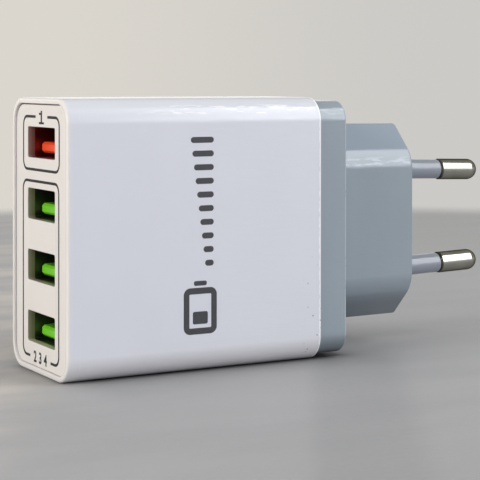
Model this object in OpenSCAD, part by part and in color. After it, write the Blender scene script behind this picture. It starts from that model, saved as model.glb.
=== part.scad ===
// Wall charger with four USB sockets and a two-pin flat mains plug, all sizes in millimetres.
// It stands on its long narrow edge. X runs from the sockets to the pins, Y is the thickness,
// Z runs along the row of sockets, and the origin is under the middle of the whole length.

/* [Body] */
// Size of the body along the row of sockets
body_w = 46.2; // [44:0.1:60]
// Thickness of the body
body_t = 25.2; // [25.2:0.1:34]
// Length of the white sleeve
sleeve_l = 47.5; // [46.5:0.1:65]
// Radius of the four long edges of the body
corner_r = 4.25; // [3.4:0.05:5.5]
// Wall of the sleeve
wall = 1.8; // [1.5:0.05:2.2]
// Wall of the sleeve round the port panel
rim_wall = 0.95; // [0.8:0.05:1.15]
// Rounding of the sleeve's two end rims
rim_edge = 0.4; // [0.2:0.05:0.6]
// Gap between parts of the case that slide into each other
case_fit = 0.1; // [0.05:0.01:0.2]
// Height of the snap ridges that hold the case together
snap_h = 0.4; // [0.3:0.05:0.5]
// Thickness of the snap ridges along the body
snap_t = 1; // [0.8:0.1:1.2]
// Width of the snap ridges
snap_w = 6; // [4:0.5:8]
// Clearance round a snap ridge in its pocket
snap_fit = 0.1; // [0.05:0.01:0.15]

/* [Port panel] */
// Thickness of the port panel
panel_t = 1.3; // [1.1:0.05:1.6]
// How far the panel lies behind the sleeve's rim
panel_recess = 0.4; // [0.2:0.05:0.6]
// Depth of the skirt behind the panel
skirt_l = 2.2; // [1.5:0.1:3]
// Wall of the skirt
skirt_wall = 0.9; // [0.7:0.05:1.1]
// Rounding of the panel's front edge
panel_edge = 0.2; // [0.1:0.05:0.3]
// Distance between neighbouring sockets
port_pitch = 10.4; // [8:0.1:10.6]
// Long side of a window
window_w = 12.3; // [12.2:0.05:12.4]
// Short side of a window
window_h = 5.2; // [5.15:0.05:5.4]
// Radius of a window's corners
window_r = 0.4; // [0.2:0.05:0.7]

/* [Sockets] */
// Inside width of a socket's metal shell
shell_in_w = 12.5; // [12.4:0.05:12.7]
// Inside height of a socket's metal shell
shell_in_h = 5.12; // [5:0.02:5.3]
// Sheet of the metal shell
shell_sheet = 0.3; // [0.2:0.05:0.4]
// Inside radius of the shell's folds
shell_fold_r = 0.35; // [0.2:0.05:0.5]
// Length of the metal shell
shell_l = 12.6; // [11.5:0.1:14]
// Width of a spring finger in the shell
spring_w = 2; // [1.6:0.1:2.4]
// Length of a spring finger
spring_l = 5.4; // [4.5:0.1:6]
// How far a spring finger dips into the socket
spring_dip = 0.42; // [0.3:0.02:0.45]
// Slot cut round a spring finger
spring_gap = 0.45; // [0.3:0.05:0.6]
// Width of the tongue
tongue_w = 11.1; // [10.8:0.05:11.4]
// Thickness of the tongue
tongue_t = 1.84; // [1.7:0.02:1.95]
// Gap between the tongue's bare side and the shell
tongue_gap = 0.7; // [0.6:0.02:0.8]
// How far the tongue's tip lies behind the shell's mouth
tongue_back = 1.2; // [0.9:0.05:1.6]
// Chamfer of the tongue's tip
tongue_edge = 0.4; // [0.2:0.05:0.5]
// Radius of the tongue's front corners
tongue_corner = 0.9; // [0.5:0.05:1.2]
// Depth of the block that closes the shell behind the tongue
tongue_base = 3; // [2.4:0.1:4]
// Width of a contact strip
contact_w = 1; // [0.8:0.05:1.2]
// Thickness of a contact strip
contact_t = 0.2; // [0.15:0.01:0.25]
// Width of a contact's solder tail
tail_w = 0.6; // [0.4:0.05:0.8]
// Width of a shell's solder leg
leg_w = 1.6; // [1.2:0.1:2]

/* [Rear cover] */
// Step from the white sleeve in to the cover
cover_step = 0.65; // [0.3:0.05:1]
// Length of the cover's flange
flange_l = 5.75; // [4.5:0.05:9]
// Wall of the cover
cover_wall = 1.9; // [1.6:0.05:2.3]
// Rounding of the flange's rear edge
flange_edge = 0.5; // [0.2:0.05:0.8]
// Length of the lip that enters the sleeve
lip_l = 3.5; // [2.5:0.1:4]
// Wall of the lip
lip_wall = 1.3; // [1:0.05:1.5]
// Length of the plug block
block_l = 17.8; // [15:0.1:22]
// Size of the plug block from edge to edge
block_w = 37.4; // [35:0.1:39]
// Length of the plug block's flat faces, from edge to edge
block_flat = 24.8; // [24.6:0.1:26.6]
// Thickness of the plug block
block_t = 13.6; // [13:0.1:16.5]
// Taper of the plug block on each side
block_draft = 0.16; // [0:0.02:0.3]
// Rounding of the block's four edges beside the flat faces
block_flat_r = 4.4; // [2:0.1:5]
// Rounding of the block's two outer edges
block_tip_r = 1.4; // [0.8:0.1:2]
// Rounding round the block's end face
block_end_edge = 0.4; // [0.2:0.05:0.8]
// Thickness of the block's end wall
end_wall = 4.5; // [4:0.1:6]

/* [Plug pins] */
// Diameter of a pin
pin_d = 4; // [3.94:0.01:4.06]
// Length of a pin from the block's end face
pin_l = 19; // [18.5:0.1:19.5]
// Distance between the pins at the block
pin_space = 18.6; // [18:0.05:19.2]
// Distance between the pins' tips
pin_tip_space = 17.5; // [17:0.05:18]
// Length of a pin's insulating collar
collar_l = 10; // [9.5:0.1:10.5]
// Diameter of the collar
collar_d = 3.68; // [3.6:0.01:3.8]
// Rounding of the collar's outer end
collar_edge = 0.25; // [0.1:0.05:0.35]
// Chamfer round the bare end of the pin, next to the collar
pin_edge = 0.35; // [0.2:0.05:0.5]
// Diameter of the pin inside the collar
neck_d = 2.8; // [2.4:0.05:3]
// Depth that the collar is set into the end wall
collar_seat = 1.5; // [1:0.1:2]
// Diameter of the pin's anchor inside the cover
anchor_d = 5; // [4.6:0.1:5.6]
// Thickness of the anchor
anchor_t = 1.2; // [1:0.1:1.6]
// Depth that the anchor is set into the end wall
anchor_seat = 0.3; // [0.2:0.05:0.5]
// Length of the solder tail behind the anchor
pin_tail_l = 3; // [2.5:0.1:4]

/* [Boards] */
// Thickness of the circuit boards
board_t = 1.6; // [1.4:0.05:1.8]
// Space behind the main board
board_back = 2.5; // [2.4:0.05:2.5]
// Gap between a board and what guides it
board_fit = 0.15; // [0.1:0.01:0.3]
// Height of the guide ribs
rib_h = 1.6; // [1.2:0.1:2]
// Thickness of the guide ribs
rib_t = 1; // [0.8:0.1:1.4]
// Thickness of the insulating sheet
sheet_t = 0.25; // [0.2:0.05:0.4]
// Diameter of the component leads
lead_d = 0.7; // [0.5:0.05:0.9]
// Gap round a lead or tail in its hole
lead_fit = 0.1; // [0.05:0.01:0.2]
// Length of a lead behind its board
lead_out = 0.8; // [0.5:0.1:1]

/* [Components] */
// Diameter of the two mains capacitors
bulk_d = 9; // [8:0.1:9.6]
// Height of the two mains capacitors
bulk_h = 15; // [12:0.1:16]
// Diameter of the two output capacitors
output_d = 6.3; // [5:0.1:6.4]
// Height of the two output capacitors
output_h = 12; // [8:0.1:14]
// Length of the transformer core, along X
core_l = 15.6; // [14:0.1:16]
// Width of the transformer core, along Z
core_w = 19; // [17:0.1:20]
// Thickness of the transformer core
core_t = 5; // [4.4:0.1:5.6]
// Width of the core's middle leg
core_leg = 5; // [4.4:0.1:5.4]
// Thickness of the core's outer legs and backs
core_back = 2.4; // [2:0.1:2.8]
// Wall of the bobbin
bobbin_wall = 0.8; // [0.6:0.05:1]
// Height of the transformer's middle above the board
core_up = 8.2; // [8:0.1:8.6]
// Diameter of the supply wires
wire_d = 1.6; // [1.2:0.1:2]

/* [Hidden] */
$fn = 64;

tiny = 0.01;
ports = [0:3];
white = "whitesmoke";
cover_grey = "lightslategray";

// Lengthwise places, counted from the sleeve's front rim
block_x = sleeve_l + flange_l;
block_end = block_x + block_l;
pin_tilt = asin((pin_space - pin_tip_space) / 2 / pin_l);
overall_l = block_end + pin_l * cos(pin_tilt);
panel_x = panel_recess + panel_t;
shell_end = panel_x + shell_l;
port_board_end = shell_end + board_t;
tongue_x = panel_x + tongue_back;
lip_x = sleeve_l - lip_l;
main_board_end = lip_x - board_fit;
anchor_x = end_wall - anchor_seat;
tail_back = anchor_x + anchor_t + pin_tail_l;

// Places across the body
mid_z = body_w / 2;
in_w = body_w - 2 * wall;
in_t = body_t - 2 * wall;
in_r = corner_r - wall;
flange_w = body_w - 2 * cover_step;
flange_t = body_t - 2 * cover_step;
flange_r = corner_r - cover_step;

// The main board lies against the +Y wall, with its components on the -Y side
board_face = body_t / 2 - wall - board_back - board_t;
board_rear = board_face + board_t;
board_low = wall + board_fit;
board_high = body_w - wall - board_fit;
tab_w = 5;
tab_z = [mid_z - 10, mid_z + 10];

// The four contacts of a socket: place across the tongue, and how far each starts behind the tip
contact_y = [-3.5, -1, 1, 3.5];
contact_start = [1, 2, 2, 1];

// Component places on the main board, X from the port board and Z from an edge or the middle
low_z = wall + rib_h + 0.15;
high_z = body_w - low_z;
mains_x = [port_board_end + 5.8, port_board_end + 15.2];
mains_z = high_z - bulk_d / 2;
output_x = [port_board_end + 4.4, port_board_end + 11.8];
output_z = low_z + output_d / 2;
core_x = port_board_end + 14;
core_y = board_face - core_up;
part_gap = 0.05;
choke = [6.4, 9.6, min(10, high_z - mid_z - core_w / 2 - part_gap)];
choke_x = port_board_end + 23.6;
choke_z = high_z - choke[2] / 2;
inductor_d = 5.6;
inductor_x = port_board_end + 18.4;
inductor_z = low_z + inductor_d / 2;
safety_d = 6.4;
safety_x = port_board_end + 23.4;
safety_z = low_z + safety_d / 2;
film = [4.8, 11, 13];
film_x = port_board_end + 24.9;
film_z = mid_z - 0.6;
switch = [5.4, 2.3, 4.4];
switch_x = port_board_end + 24.6;
switch_z = mid_z - 10.2;
heatsink_x = port_board_end + 3.6;
heatsink = [1, 13.5, 13];
package = [3, 9, 6.6];

// Turns the outline of a flat shape to face along X: its x becomes Y, its y becomes Z
module along_x(l) {
    rotate([90, 0, 90]) linear_extrude(l) children();
}

// Turns a flat side view drawn in X and Z, and gives it a width along Y
module side_view(w) {
    translate([0, w / 2, 0]) rotate([90, 0, 0]) linear_extrude(w) children();
}

// Everything is drawn with the front rim at X = 0 and then set on the part's origin
module placed() {
    translate([-overall_l / 2, 0, 0]) children();
}

module round_rect(w, h, r) {
    square([w - 2 * r, h], center = true);
    square([w, h - 2 * r], center = true);
    for (i = [-1, 1], j = [-1, 1]) {
        translate([i * (w / 2 - r), j * (h / 2 - r)]) circle(r);
    }
}

module round_bar(t, w, r, x0, x1) {
    translate([x0, 0, mid_z]) along_x(x1 - x0) round_rect(t, w, r);
}

// Half section of a bar with rounded ends: x is the distance from a corner's axis, y runs lengthwise
module end_rounded_strip(r, l, e0, e1) {
    square([r - e0, l / 2]);
    translate([0, l / 2]) square([r - e1, l / 2]);
    translate([0, e0]) square([r, l - e0 - e1]);
    translate([r - e0, e0]) circle(e0);
    translate([r - e1, l - e1]) circle(e1);
}

// Rounded bar along X whose two end faces are rounded off all round by e0 and e1
module soft_bar(t, w, r, l, e0, e1) {
    translate([0, r - t / 2, r - w / 2]) cube([l, t - 2 * r, w - 2 * r]);
    for (s = [0, 1]) {
        mirror([0, s, 0]) translate([0, t / 2 - r, r - w / 2])
            mirror([1, -1, 0]) linear_extrude(w - 2 * r) end_rounded_strip(r, l, e0, e1);
        mirror([0, 0, s]) translate([0, r - t / 2, w / 2 - r])
            rotate([0, -90, -90]) linear_extrude(t - 2 * r) end_rounded_strip(r, l, e0, e1);
    }
    for (i = [-1, 1], j = [-1, 1]) {
        translate([0, i * (t / 2 - r), j * (w / 2 - r)]) rotate([0, 90, 0]) rotate_extrude() intersection() {
            end_rounded_strip(r, l, e0, e1);
            square([r, l]);
        }
    }
}

module rod(x0, x1, d) {
    translate([x0, 0, 0]) rotate([0, 90, 0]) cylinder(d = d, h = x1 - x0);
}

// A window or bore cross-section at each socket's place
function port_z(i) = mid_z + (1.5 - i) * port_pitch;

module sleeve() {
    color(white) placed() {
        difference() {
            translate([0, 0, mid_z]) soft_bar(body_t, body_w, corner_r, sleeve_l, rim_edge, rim_edge / 2);
            round_bar(body_t - 2 * rim_wall, body_w - 2 * rim_wall, corner_r - rim_wall, -1, panel_x);
            round_bar(in_t, in_w, in_r, panel_x - tiny, sleeve_l + 1);
            snap_pockets();
        }
        guide_ribs();
        board_stops();
    }
}

// Where the snap ridges stand on the panel's skirt and on the cover's lip
skirt_snap_x = panel_x + skirt_l - snap_t - 0.2;
lip_snap_x = lip_x + 0.8;
snap_z = [mid_z - 12, mid_z + 12];

// Pockets in the sleeve's big walls that the snap ridges click into
module snap_pockets() {
    for (s = [0, 1], x = [skirt_snap_x, lip_snap_x], z = snap_z) mirror([0, s, 0])
        translate([x - snap_fit, in_t / 2 - tiny, z - snap_w / 2 - snap_fit])
            cube([snap_t + 2 * snap_fit, snap_h - case_fit + snap_fit + tiny, snap_w + 2 * snap_fit]);
}

// Snap ridges: lead is the share of their thickness taken up by the slope that faces forward
module snap_ridges(x, lead) {
    for (s = [0, 1], z = snap_z) mirror([0, s, 0]) translate([x, in_t / 2 - case_fit, z - snap_w / 2])
        linear_extrude(snap_w) polygon([[0, -tiny], [snap_t, -tiny], [snap_t, 0],
            [snap_t * (lead + 0.2), snap_h], [snap_t * lead, snap_h], [0, 0]]);
}

// Pairs of ribs along the top and bottom walls, which hold the main board's long edges
module guide_ribs() {
    for (s = [0, 1]) translate([0, 0, s * body_w]) mirror([0, 0, s])
        for (y = [board_face - board_fit - rib_t, board_rear + board_fit]) {
            translate([port_board_end + 1, y, wall - tiny])
                cube([main_board_end - port_board_end - 1, rib_t, rib_h + tiny]);
        }
}

// Small stops in front of the port board
module board_stops() {
    for (s = [0, 1], z = [mid_z - 14, mid_z, mid_z + 14]) mirror([0, s, 0])
        translate([shell_end - 2, in_t / 2 - rib_h, z - rib_t / 2]) cube([2, rib_h + tiny, rib_t]);
}

module port_panel() {
    panel_w = body_w - 2 * (rim_wall + case_fit);
    panel_h = body_t - 2 * (rim_wall + case_fit);
    panel_r = corner_r - rim_wall - case_fit;
    color("linen") placed() difference() {
        union() {
            translate([panel_recess, 0, mid_z])
                soft_bar(panel_h, panel_w, panel_r, panel_t, panel_edge, tiny);
            round_bar(in_t - 2 * case_fit, in_w - 2 * case_fit, in_r - case_fit, panel_x - tiny, panel_x + skirt_l);
            snap_ridges(skirt_snap_x, 0.1);
        }
        round_bar(in_t - 2 * (case_fit + skirt_wall), in_w - 2 * (case_fit + skirt_wall),
            in_r - case_fit - skirt_wall, panel_x, panel_x + skirt_l + 1);
        for (i = ports) {
            translate([-1, 0, port_z(i)]) along_x(panel_x + 2) round_rect(window_w, window_h, window_r);
        }
    }
}

// Outline with rounded corners: p are the corners in turn, r their radii
function unit(v) = v / norm(v);
function half_turn(a, b) = acos(unit(a) * unit(b)) / 2;
function arc_start(p, a, b, r) = p + unit(a - p) * r / tan(half_turn(a - p, b - p));
function arc_centre(p, a, b, r) = p + unit(unit(a - p) + unit(b - p)) * r / sin(half_turn(a - p, b - p));

module rounded_outline(p, r) {
    n = len(p);
    polygon([for (i = [0:n - 1]) let (a = p[(i + n - 1) % n], b = p[(i + 1) % n])
        each [arc_start(p[i], a, b, r[i]), arc_start(p[i], b, a, r[i])]]);
    for (i = [0:n - 1]) {
        translate(arc_centre(p[i], p[(i + n - 1) % n], p[(i + 1) % n], r[i])) circle(r[i]);
    }
}

// The plug block's six-sided section, smaller all round by inset
module block_outline(inset = 0, fine = 48) {
    w = block_w / 2 - inset * 1.3;
    f = block_flat / 2 - inset * 0.6;
    t = block_t / 2 - inset;
    side = block_flat_r - inset;
    tip = max(block_tip_r - inset, 0.3);
    $fn = fine;
    rounded_outline([[0, -w], [t, -f], [t, f], [0, w], [-t, f], [-t, -f]], [tip, side, side, tip, side, side]);
}

module block_slice(x, inset) {
    translate([x, 0, mid_z]) along_x(tiny) block_outline(inset, 32);
}

module rear_cover() {
    inner_x = block_x - cover_wall;
    inner_end = block_end - end_wall;
    color(cover_grey) placed() difference() {
        union() {
            translate([sleeve_l, 0, mid_z])
                soft_bar(flange_t, flange_w, flange_r, flange_l, tiny, flange_edge);
            round_bar(in_t - 2 * case_fit, in_w - 2 * case_fit, in_r - case_fit, lip_x, sleeve_l + tiny);
            snap_ridges(lip_snap_x, 0.7);
            hull() {
                block_slice(block_x - tiny, 0);
                block_slice(block_end - block_end_edge, block_draft);
                block_slice(block_end - tiny, block_draft + block_end_edge * 0.6);
            }
        }
        round_bar(in_t - 2 * (case_fit + lip_wall), in_w - 2 * (case_fit + lip_wall),
            in_r - case_fit - lip_wall, lip_x - 1, sleeve_l + tiny);
        round_bar(flange_t - 2 * cover_wall, flange_w - 2 * cover_wall, flange_r - cover_wall, sleeve_l, inner_x);
        translate([inner_x - tiny, 0, mid_z]) along_x(inner_end - inner_x + tiny) block_outline(cover_wall);
        for (s = [-1, 1]) on_pin(s) {
            rod(-end_wall - 1, -anchor_x, anchor_d);
            rod(-end_wall - 1, 1, neck_d);
            rod(-collar_seat, 1, collar_d);
        }
    }
    color(cover_grey) placed() block_ribs(inner_x, inner_end);
}

// Two ribs across the hollow block, between the pins
module block_ribs(x0, x1) {
    rib = 1.2;
    for (z = [-3, 3]) translate([x0, -block_t / 2 + cover_wall - tiny, mid_z + z - rib / 2]) difference() {
        cube([x1 - x0 + tiny, block_t - 2 * cover_wall + 2 * tiny, rib]);
        translate([-1, 2.5, -1]) cube([x1 - x0 - 3, block_t - 2 * cover_wall - 5, rib + 2]);
    }
}

// Frame of a pin: its X axis starts at the block's end face and leans towards the other pin
module on_pin(s) {
    translate([block_end, 0, mid_z + s * pin_space / 2]) rotate([0, s * pin_tilt, 0]) children();
}

module pin(s) {
    color("silver") placed() on_pin(s) {
        rod(-tail_back, collar_l + tiny, neck_d);
        rod(-anchor_x - anchor_t, -anchor_x, anchor_d);
        translate([collar_l, 0, 0]) rotate([0, 90, 0])
            cylinder(d1 = pin_d - 2 * pin_edge, d2 = pin_d, h = pin_edge);
        rod(collar_l + pin_edge, pin_l - pin_d / 2, pin_d);
        translate([pin_l - pin_d / 2, 0, 0]) sphere(d = pin_d);
    }
}

module pin_collar(s) {
    color("gray") placed() on_pin(s) difference() {
        translate([-collar_seat, 0, 0]) rotate([0, 90, 0]) rotate_extrude() intersection() {
            end_rounded_strip(collar_d / 2, collar_seat + collar_l, tiny, collar_edge);
            square([collar_d / 2, collar_seat + collar_l]);
        }
        rod(-collar_seat - 1, collar_l + 1, neck_d);
    }
}

// Frame of a socket: X from the shell's mouth, Z from the middle of the shell
module on_port(i) {
    placed() translate([panel_x, 0, port_z(i)]) children();
}

shell_w = shell_in_w + 2 * shell_sheet;
shell_h = shell_in_h + 2 * shell_sheet;
spring_y = [-3.1, 3.1];

// Where the spring fingers' slots begin: further forward on a short shell, to stay off the tongue's base
spring_x = min(2.4, shell_l - tongue_base - spring_gap - spring_l);

module usb_shell(i) {
    color("silver") on_port(i) {
        difference() {
            along_x(shell_l) round_rect(shell_w, shell_h, shell_fold_r + shell_sheet);
            translate([-1, 0, 0]) along_x(shell_l + 2) round_rect(shell_in_w, shell_in_h, shell_fold_r);
            for (y = spring_y) translate([spring_x, y - spring_w / 2 - spring_gap, -shell_h])
                cube([spring_l + spring_gap, spring_w + 2 * spring_gap, 2 * shell_h]);
        }
        for (s = [0, 1], y = spring_y) mirror([0, 0, s])
            translate([spring_x, y, shell_in_h / 2]) spring_finger();
        for (s = [0, 1]) mirror([0, s, 0]) solder_leg();
    }
}

// Spring finger in side view: rooted at the rear, it dips into the socket and turns out at its free end
module spring_finger() {
    reach = spring_gap + spring_l;
    crest = spring_gap + 1.3;
    side_view(spring_w) polygon([
        [reach + tiny, 0], [reach - 0.6, 0], [crest, -spring_dip], [spring_gap, 0.1],
        [spring_gap, shell_sheet + 0.1], [crest, shell_sheet - spring_dip],
        [reach - 0.6, shell_sheet], [reach + tiny, shell_sheet]
    ]);
}

// Leg folded on from the shell's narrow side, which passes through the port board
module solder_leg() {
    translate([shell_l - tiny, shell_in_w / 2, -leg_w / 2])
        cube([board_t + lead_out + tiny, shell_sheet, leg_w]);
}

tongue_z = tongue_gap + tongue_t / 2 - shell_in_h / 2;

// Tip of the tongue in side view, chamfered above and below
module tongue_side() {
    x0 = tongue_back;
    x1 = shell_l - tongue_base + tiny;
    h = tongue_t / 2;
    polygon([[x0, tongue_edge - h], [x0 + tongue_edge, -h], [x1, -h], [x1, h],
        [x0 + tongue_edge, h], [x0, h - tongue_edge]]);
}

// Plan of the tongue, drawn in X and Y with rounded front corners
module tongue_plan() {
    x0 = tongue_back;
    rounded_outline(
        [[x0, -tongue_w / 2], [shell_l, -tongue_w / 2], [shell_l, tongue_w / 2], [x0, tongue_w / 2]],
        [tongue_corner, 0.2, 0.2, tongue_corner]
    );
}

module usb_tongue(i) {
    color(i == 0 ? "orangered" : "limegreen") on_port(i) difference() {
        union() {
            intersection() {
                translate([0, 0, tongue_z]) side_view(tongue_w + 1) tongue_side();
                translate([0, 0, -shell_h]) linear_extrude(2 * shell_h) tongue_plan();
            }
            translate([shell_l - tongue_base, 0, 0]) along_x(tongue_base)
                round_rect(shell_in_w, shell_in_h, shell_fold_r);
        }
        for (c = ports) contact_strip(c);
    }
}

module contact_strip(c) {
    strip_x = tongue_back + contact_start[c];
    top = tongue_z + tongue_t / 2;
    translate([strip_x, contact_y[c] - contact_w / 2, top - contact_t])
        cube([shell_l - strip_x, contact_w, contact_t]);
}

module usb_contacts(i) {
    color("gold") on_port(i) for (c = ports) {
        contact_strip(c);
        translate([shell_l - tiny, contact_y[c] - tail_w / 2, tongue_z + tongue_t / 2 - contact_t])
            cube([board_t + lead_out + tiny, tail_w, contact_t]);
    }
}

// Room for the shells' solder legs, through the port board and past the legs' ends
module leg_room() {
    for (i = ports, s = [0, 1]) translate([shell_end - 1, 0, port_z(i)]) mirror([0, s, 0])
        translate([0, shell_in_w / 2 - lead_fit, -leg_w / 2 - lead_fit])
            cube([board_t + lead_out + 2, shell_sheet + 2 * lead_fit, leg_w + 2 * lead_fit]);
}

module port_board() {
    color("seagreen") placed() difference() {
        round_bar(in_t - 2 * board_fit, in_w - 2 * board_fit, in_r - board_fit, shell_end, port_board_end);
        leg_room();
        for (i = ports) {
            translate([shell_end - 1, 0, port_z(i)]) {
                for (y = contact_y)
                    translate([0, y - tail_w / 2 - lead_fit, tongue_z + tongue_t / 2 - contact_t - lead_fit])
                        cube([board_t + 2, tail_w + 2 * lead_fit, contact_t + 2 * lead_fit]);
            }
        }
        for (z = tab_z) translate([shell_end - 1, board_face - lead_fit, z - tab_w / 2 - lead_fit])
            cube([board_t + 2, board_t + 2 * lead_fit, tab_w + 2 * lead_fit]);
    }
}

// A component on the main board: X and Z as given, Y from the board's face out to the components
module on_board(x, z) {
    placed() translate([x, board_face, z]) rotate([90, 0, 0]) children();
}

// Leads of a component, at places in its own frame
module leads(places, d = lead_d, grow = 0) {
    for (p = places) translate([p[0], p[1], -board_t - lead_out])
        cylinder(d = d + 2 * grow, h = board_t + lead_out + tiny + grow, $fn = 8);
}

function pair(gap) = [[-gap / 2, 0], [gap / 2, 0]];
function pair_z(gap) = [[0, -gap / 2], [0, gap / 2]];
transformer_leads = [for (x = [-6.2, 6.2], z = [-6, -2, 2, 6]) [x, z]];
choke_leads = [for (x = [-2, 2], z = [-3.5, 3.5]) [x, z]];
heatsink_leads = pair_z(9);
rectifier_leads = pair_z(5.08);

// Where each leaded component stands, with its leads
lead_groups = [
    [mains_x[0], mains_z, pair(5)],
    [mains_x[1], mains_z, pair(5)],
    [output_x[0], output_z, pair(2.5)],
    [output_x[1], output_z, pair(2.5)],
    [core_x, mid_z, transformer_leads],
    [choke_x, choke_z, choke_leads],
    [inductor_x, inductor_z, pair(3)],
    [safety_x, safety_z, pair_z(5)],
    [film_x, film_z, pair_z(10)],
    [heatsink_x, mid_z, heatsink_leads],
    [heatsink_x - 2, mid_z, rectifier_leads]
];

module main_board() {
    color("seagreen") difference() {
        placed() {
            translate([port_board_end, board_face, board_low])
                cube([main_board_end - port_board_end, board_t, board_high - board_low]);
            for (z = tab_z) translate([shell_end, board_face, z - tab_w / 2])
                cube([board_t + tiny, board_t, tab_w]);
        }
        for (g = lead_groups) on_board(g[0], g[1]) leads(g[2], lead_d, lead_fit);
        placed() leg_room();
    }
}

module insulating_sheet() {
    color("ivory") placed() translate([port_board_end + 0.5, in_t / 2 - sheet_t, mid_z - in_w / 2 + in_r])
        cube([main_board_end - port_board_end - 1, sheet_t, in_w - 2 * in_r]);
}

// The transformer: a core of two E halves, with the bobbin and its winding round the middle leg
core_window = (core_w - core_leg) / 2 - core_back;
bobbin_in = max(core_t, core_leg) + 0.2;
bobbin_out = bobbin_in + 2 * bobbin_wall;
bobbin_l = core_l - 2 * core_back - 0.2;
winding_w = core_leg + 2 * core_window - 0.4;

module transformer_core() {
    color("dimgray") on_board(core_x, mid_z) translate([0, 0, core_up]) difference() {
        cube([core_l, core_w, core_t], center = true);
        for (s = [-1, 1]) translate([0, s * (core_leg + core_window) / 2, 0])
            cube([core_l - 2 * core_back, core_window, core_t + 1], center = true);
    }
}

module transformer_bobbin() {
    rail_top = core_up - core_t / 2 - 0.1;
    color("darkslategray") on_board(core_x, mid_z) {
        translate([0, 0, core_up]) difference() {
            union() {
                cube([bobbin_l, bobbin_out, bobbin_out], center = true);
                for (s = [-1, 1]) translate([s * (bobbin_l - bobbin_wall) / 2, 0, 0])
                    cube([bobbin_wall, winding_w, winding_w], center = true);
            }
            cube([bobbin_l + 1, core_leg + 0.2, bobbin_in], center = true);
        }
        for (s = [0, 1]) mirror([s, 0, 0]) {
            translate([bobbin_l / 2 - bobbin_wall, -winding_w / 2, 0])
                cube([bobbin_wall, winding_w, rail_top]);
            translate([bobbin_l / 2 - tiny, -8, 0]) cube([core_back + tiny, 16, rail_top]);
        }
        leads(transformer_leads);
    }
}

module transformer_winding() {
    l = bobbin_l - 2 * bobbin_wall;
    color("gold") on_board(core_x, mid_z) translate([-l / 2, 0, core_up]) difference() {
        along_x(l) round_rect(winding_w, winding_w - 0.4, 2.5);
        translate([-1, 0, 0]) along_x(l + 2) square(bobbin_out, center = true);
    }
}

// Round capacitor with a crimped can and rounded top
module can(d, h) {
    rotate_extrude() difference() {
        union() {
            square([d / 2, h - 0.8]);
            square([d / 2 - 0.8, h]);
            translate([d / 2 - 0.8, h - 0.8]) circle(0.8);
        }
        translate([d / 2 + 0.15, 1.8]) circle(0.5);
        translate([-d, -1]) square([d, h + 2]);
    }
}

module mains_capacitor(i) {
    color("midnightblue") on_board(mains_x[i], mains_z) {
        can(bulk_d, bulk_h);
        leads(pair(5));
    }
}

module output_capacitor(i) {
    color("silver") on_board(output_x[i], output_z) {
        can(output_d, output_h);
        leads(pair(2.5));
    }
}

// The mains choke: a closed core with a winding round each long leg
choke_leg = 1.6;

module choke_core() {
    color("dimgray") on_board(choke_x, choke_z) translate([0, 0, choke[1] / 2]) difference() {
        cube([choke_leg * 1.5, choke[2], choke[1]], center = true);
        cube([choke_leg * 2, choke[2] - 2 * choke_leg, choke[1] - 2 * choke_leg], center = true);
    }
}

module choke_winding() {
    color("chocolate") on_board(choke_x, choke_z) {
        for (s = [-1, 1]) translate([0, s * (choke[2] - choke_leg) / 2, choke[1] / 2]) difference() {
            linear_extrude(choke[1] - 2 * choke_leg - 1, center = true)
                intersection() {
                    round_rect(choke[0], 2 * choke_leg + 1.4, 1.2);
                    translate([-choke[0], -choke_leg / 2 - (s > 0 ? 1.2 : 0)])
                        square([2 * choke[0], choke_leg + 1.2]);
                }
            cube([choke_leg * 1.5, choke_leg, choke[1]], center = true);
        }
        choke_base();
        leads(choke_leads);
    }
}

// Feet of the choke, two bars that stand on the board and carry the windings
module choke_base() {
    bar_h = choke_leg + 0.5;
    for (s = [-1, 1]) translate([0, s * 3.5, bar_h / 2]) difference() {
        cube([choke[0] - 0.6, 2, bar_h], center = true);
        cube([choke_leg * 1.5, 3, 2 * bar_h], center = true);
    }
}

module interference_capacitor() {
    color("gold") on_board(film_x, film_z) {
        translate([0, 0, film[1] / 2]) cube([film[0], film[2], film[1]], center = true);
        leads(pair_z(10));
    }
}

module safety_capacitor() {
    disc_t = 3;
    color("royalblue") on_board(safety_x, safety_z) {
        translate([-disc_t / 2, 0, safety_d / 2 + 0.6]) rotate([0, 90, 0]) cylinder(d = safety_d, h = disc_t);
        for (z = [-2.5, 2.5]) translate([0, z, 0]) cylinder(d = lead_d, h = 2.2, $fn = 8);
        leads(pair_z(5));
    }
}

module power_switch() {
    color("black") on_board(switch_x, switch_z) translate([0, 0, switch[1] / 2])
        cube([switch[0], switch[2], switch[1]], center = true);
}

module rectifier_heatsink() {
    color("silver") on_board(heatsink_x, mid_z) {
        translate([heatsink[0] / 2, 0, heatsink[1] / 2])
            cube([heatsink[0], heatsink[2], heatsink[1]], center = true);
        leads(heatsink_leads);
    }
}

module output_rectifier() {
    stand = 2.5;
    color("black") on_board(heatsink_x, mid_z) {
        translate([-package[0], -package[2] / 2, stand]) cube([package[0], package[2], package[1]]);
        translate([-2, 0, 0]) {
            for (z = [-2.54, 2.54]) translate([0, z, 0]) cylinder(d = lead_d, h = stand + 0.2, $fn = 8);
            leads(rectifier_leads);
        }
    }
}

module output_inductor() {
    color("dimgray") on_board(inductor_x, inductor_z) {
        for (z = [0, 5.4]) translate([0, 0, z]) cylinder(d = inductor_d, h = 1.2);
        translate([0, 0, 1]) cylinder(d = inductor_d - 1.6, h = 5);
        leads(pair(3));
    }
}

// Small packages: a body with its feet, lying on a board
module chip(size, feet) {
    foot = 0.4;
    translate([0, 0, size[2] / 2]) cube(size, center = true);
    for (s = [-1, 1], k = [0:feet - 1]) {
        translate([(k - (feet - 1) / 2) * 1.27 - foot / 2, s * (size[1] / 2 + 0.35) - 0.4, 0])
            cube([foot, 0.8, 0.5]);
    }
}

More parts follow.
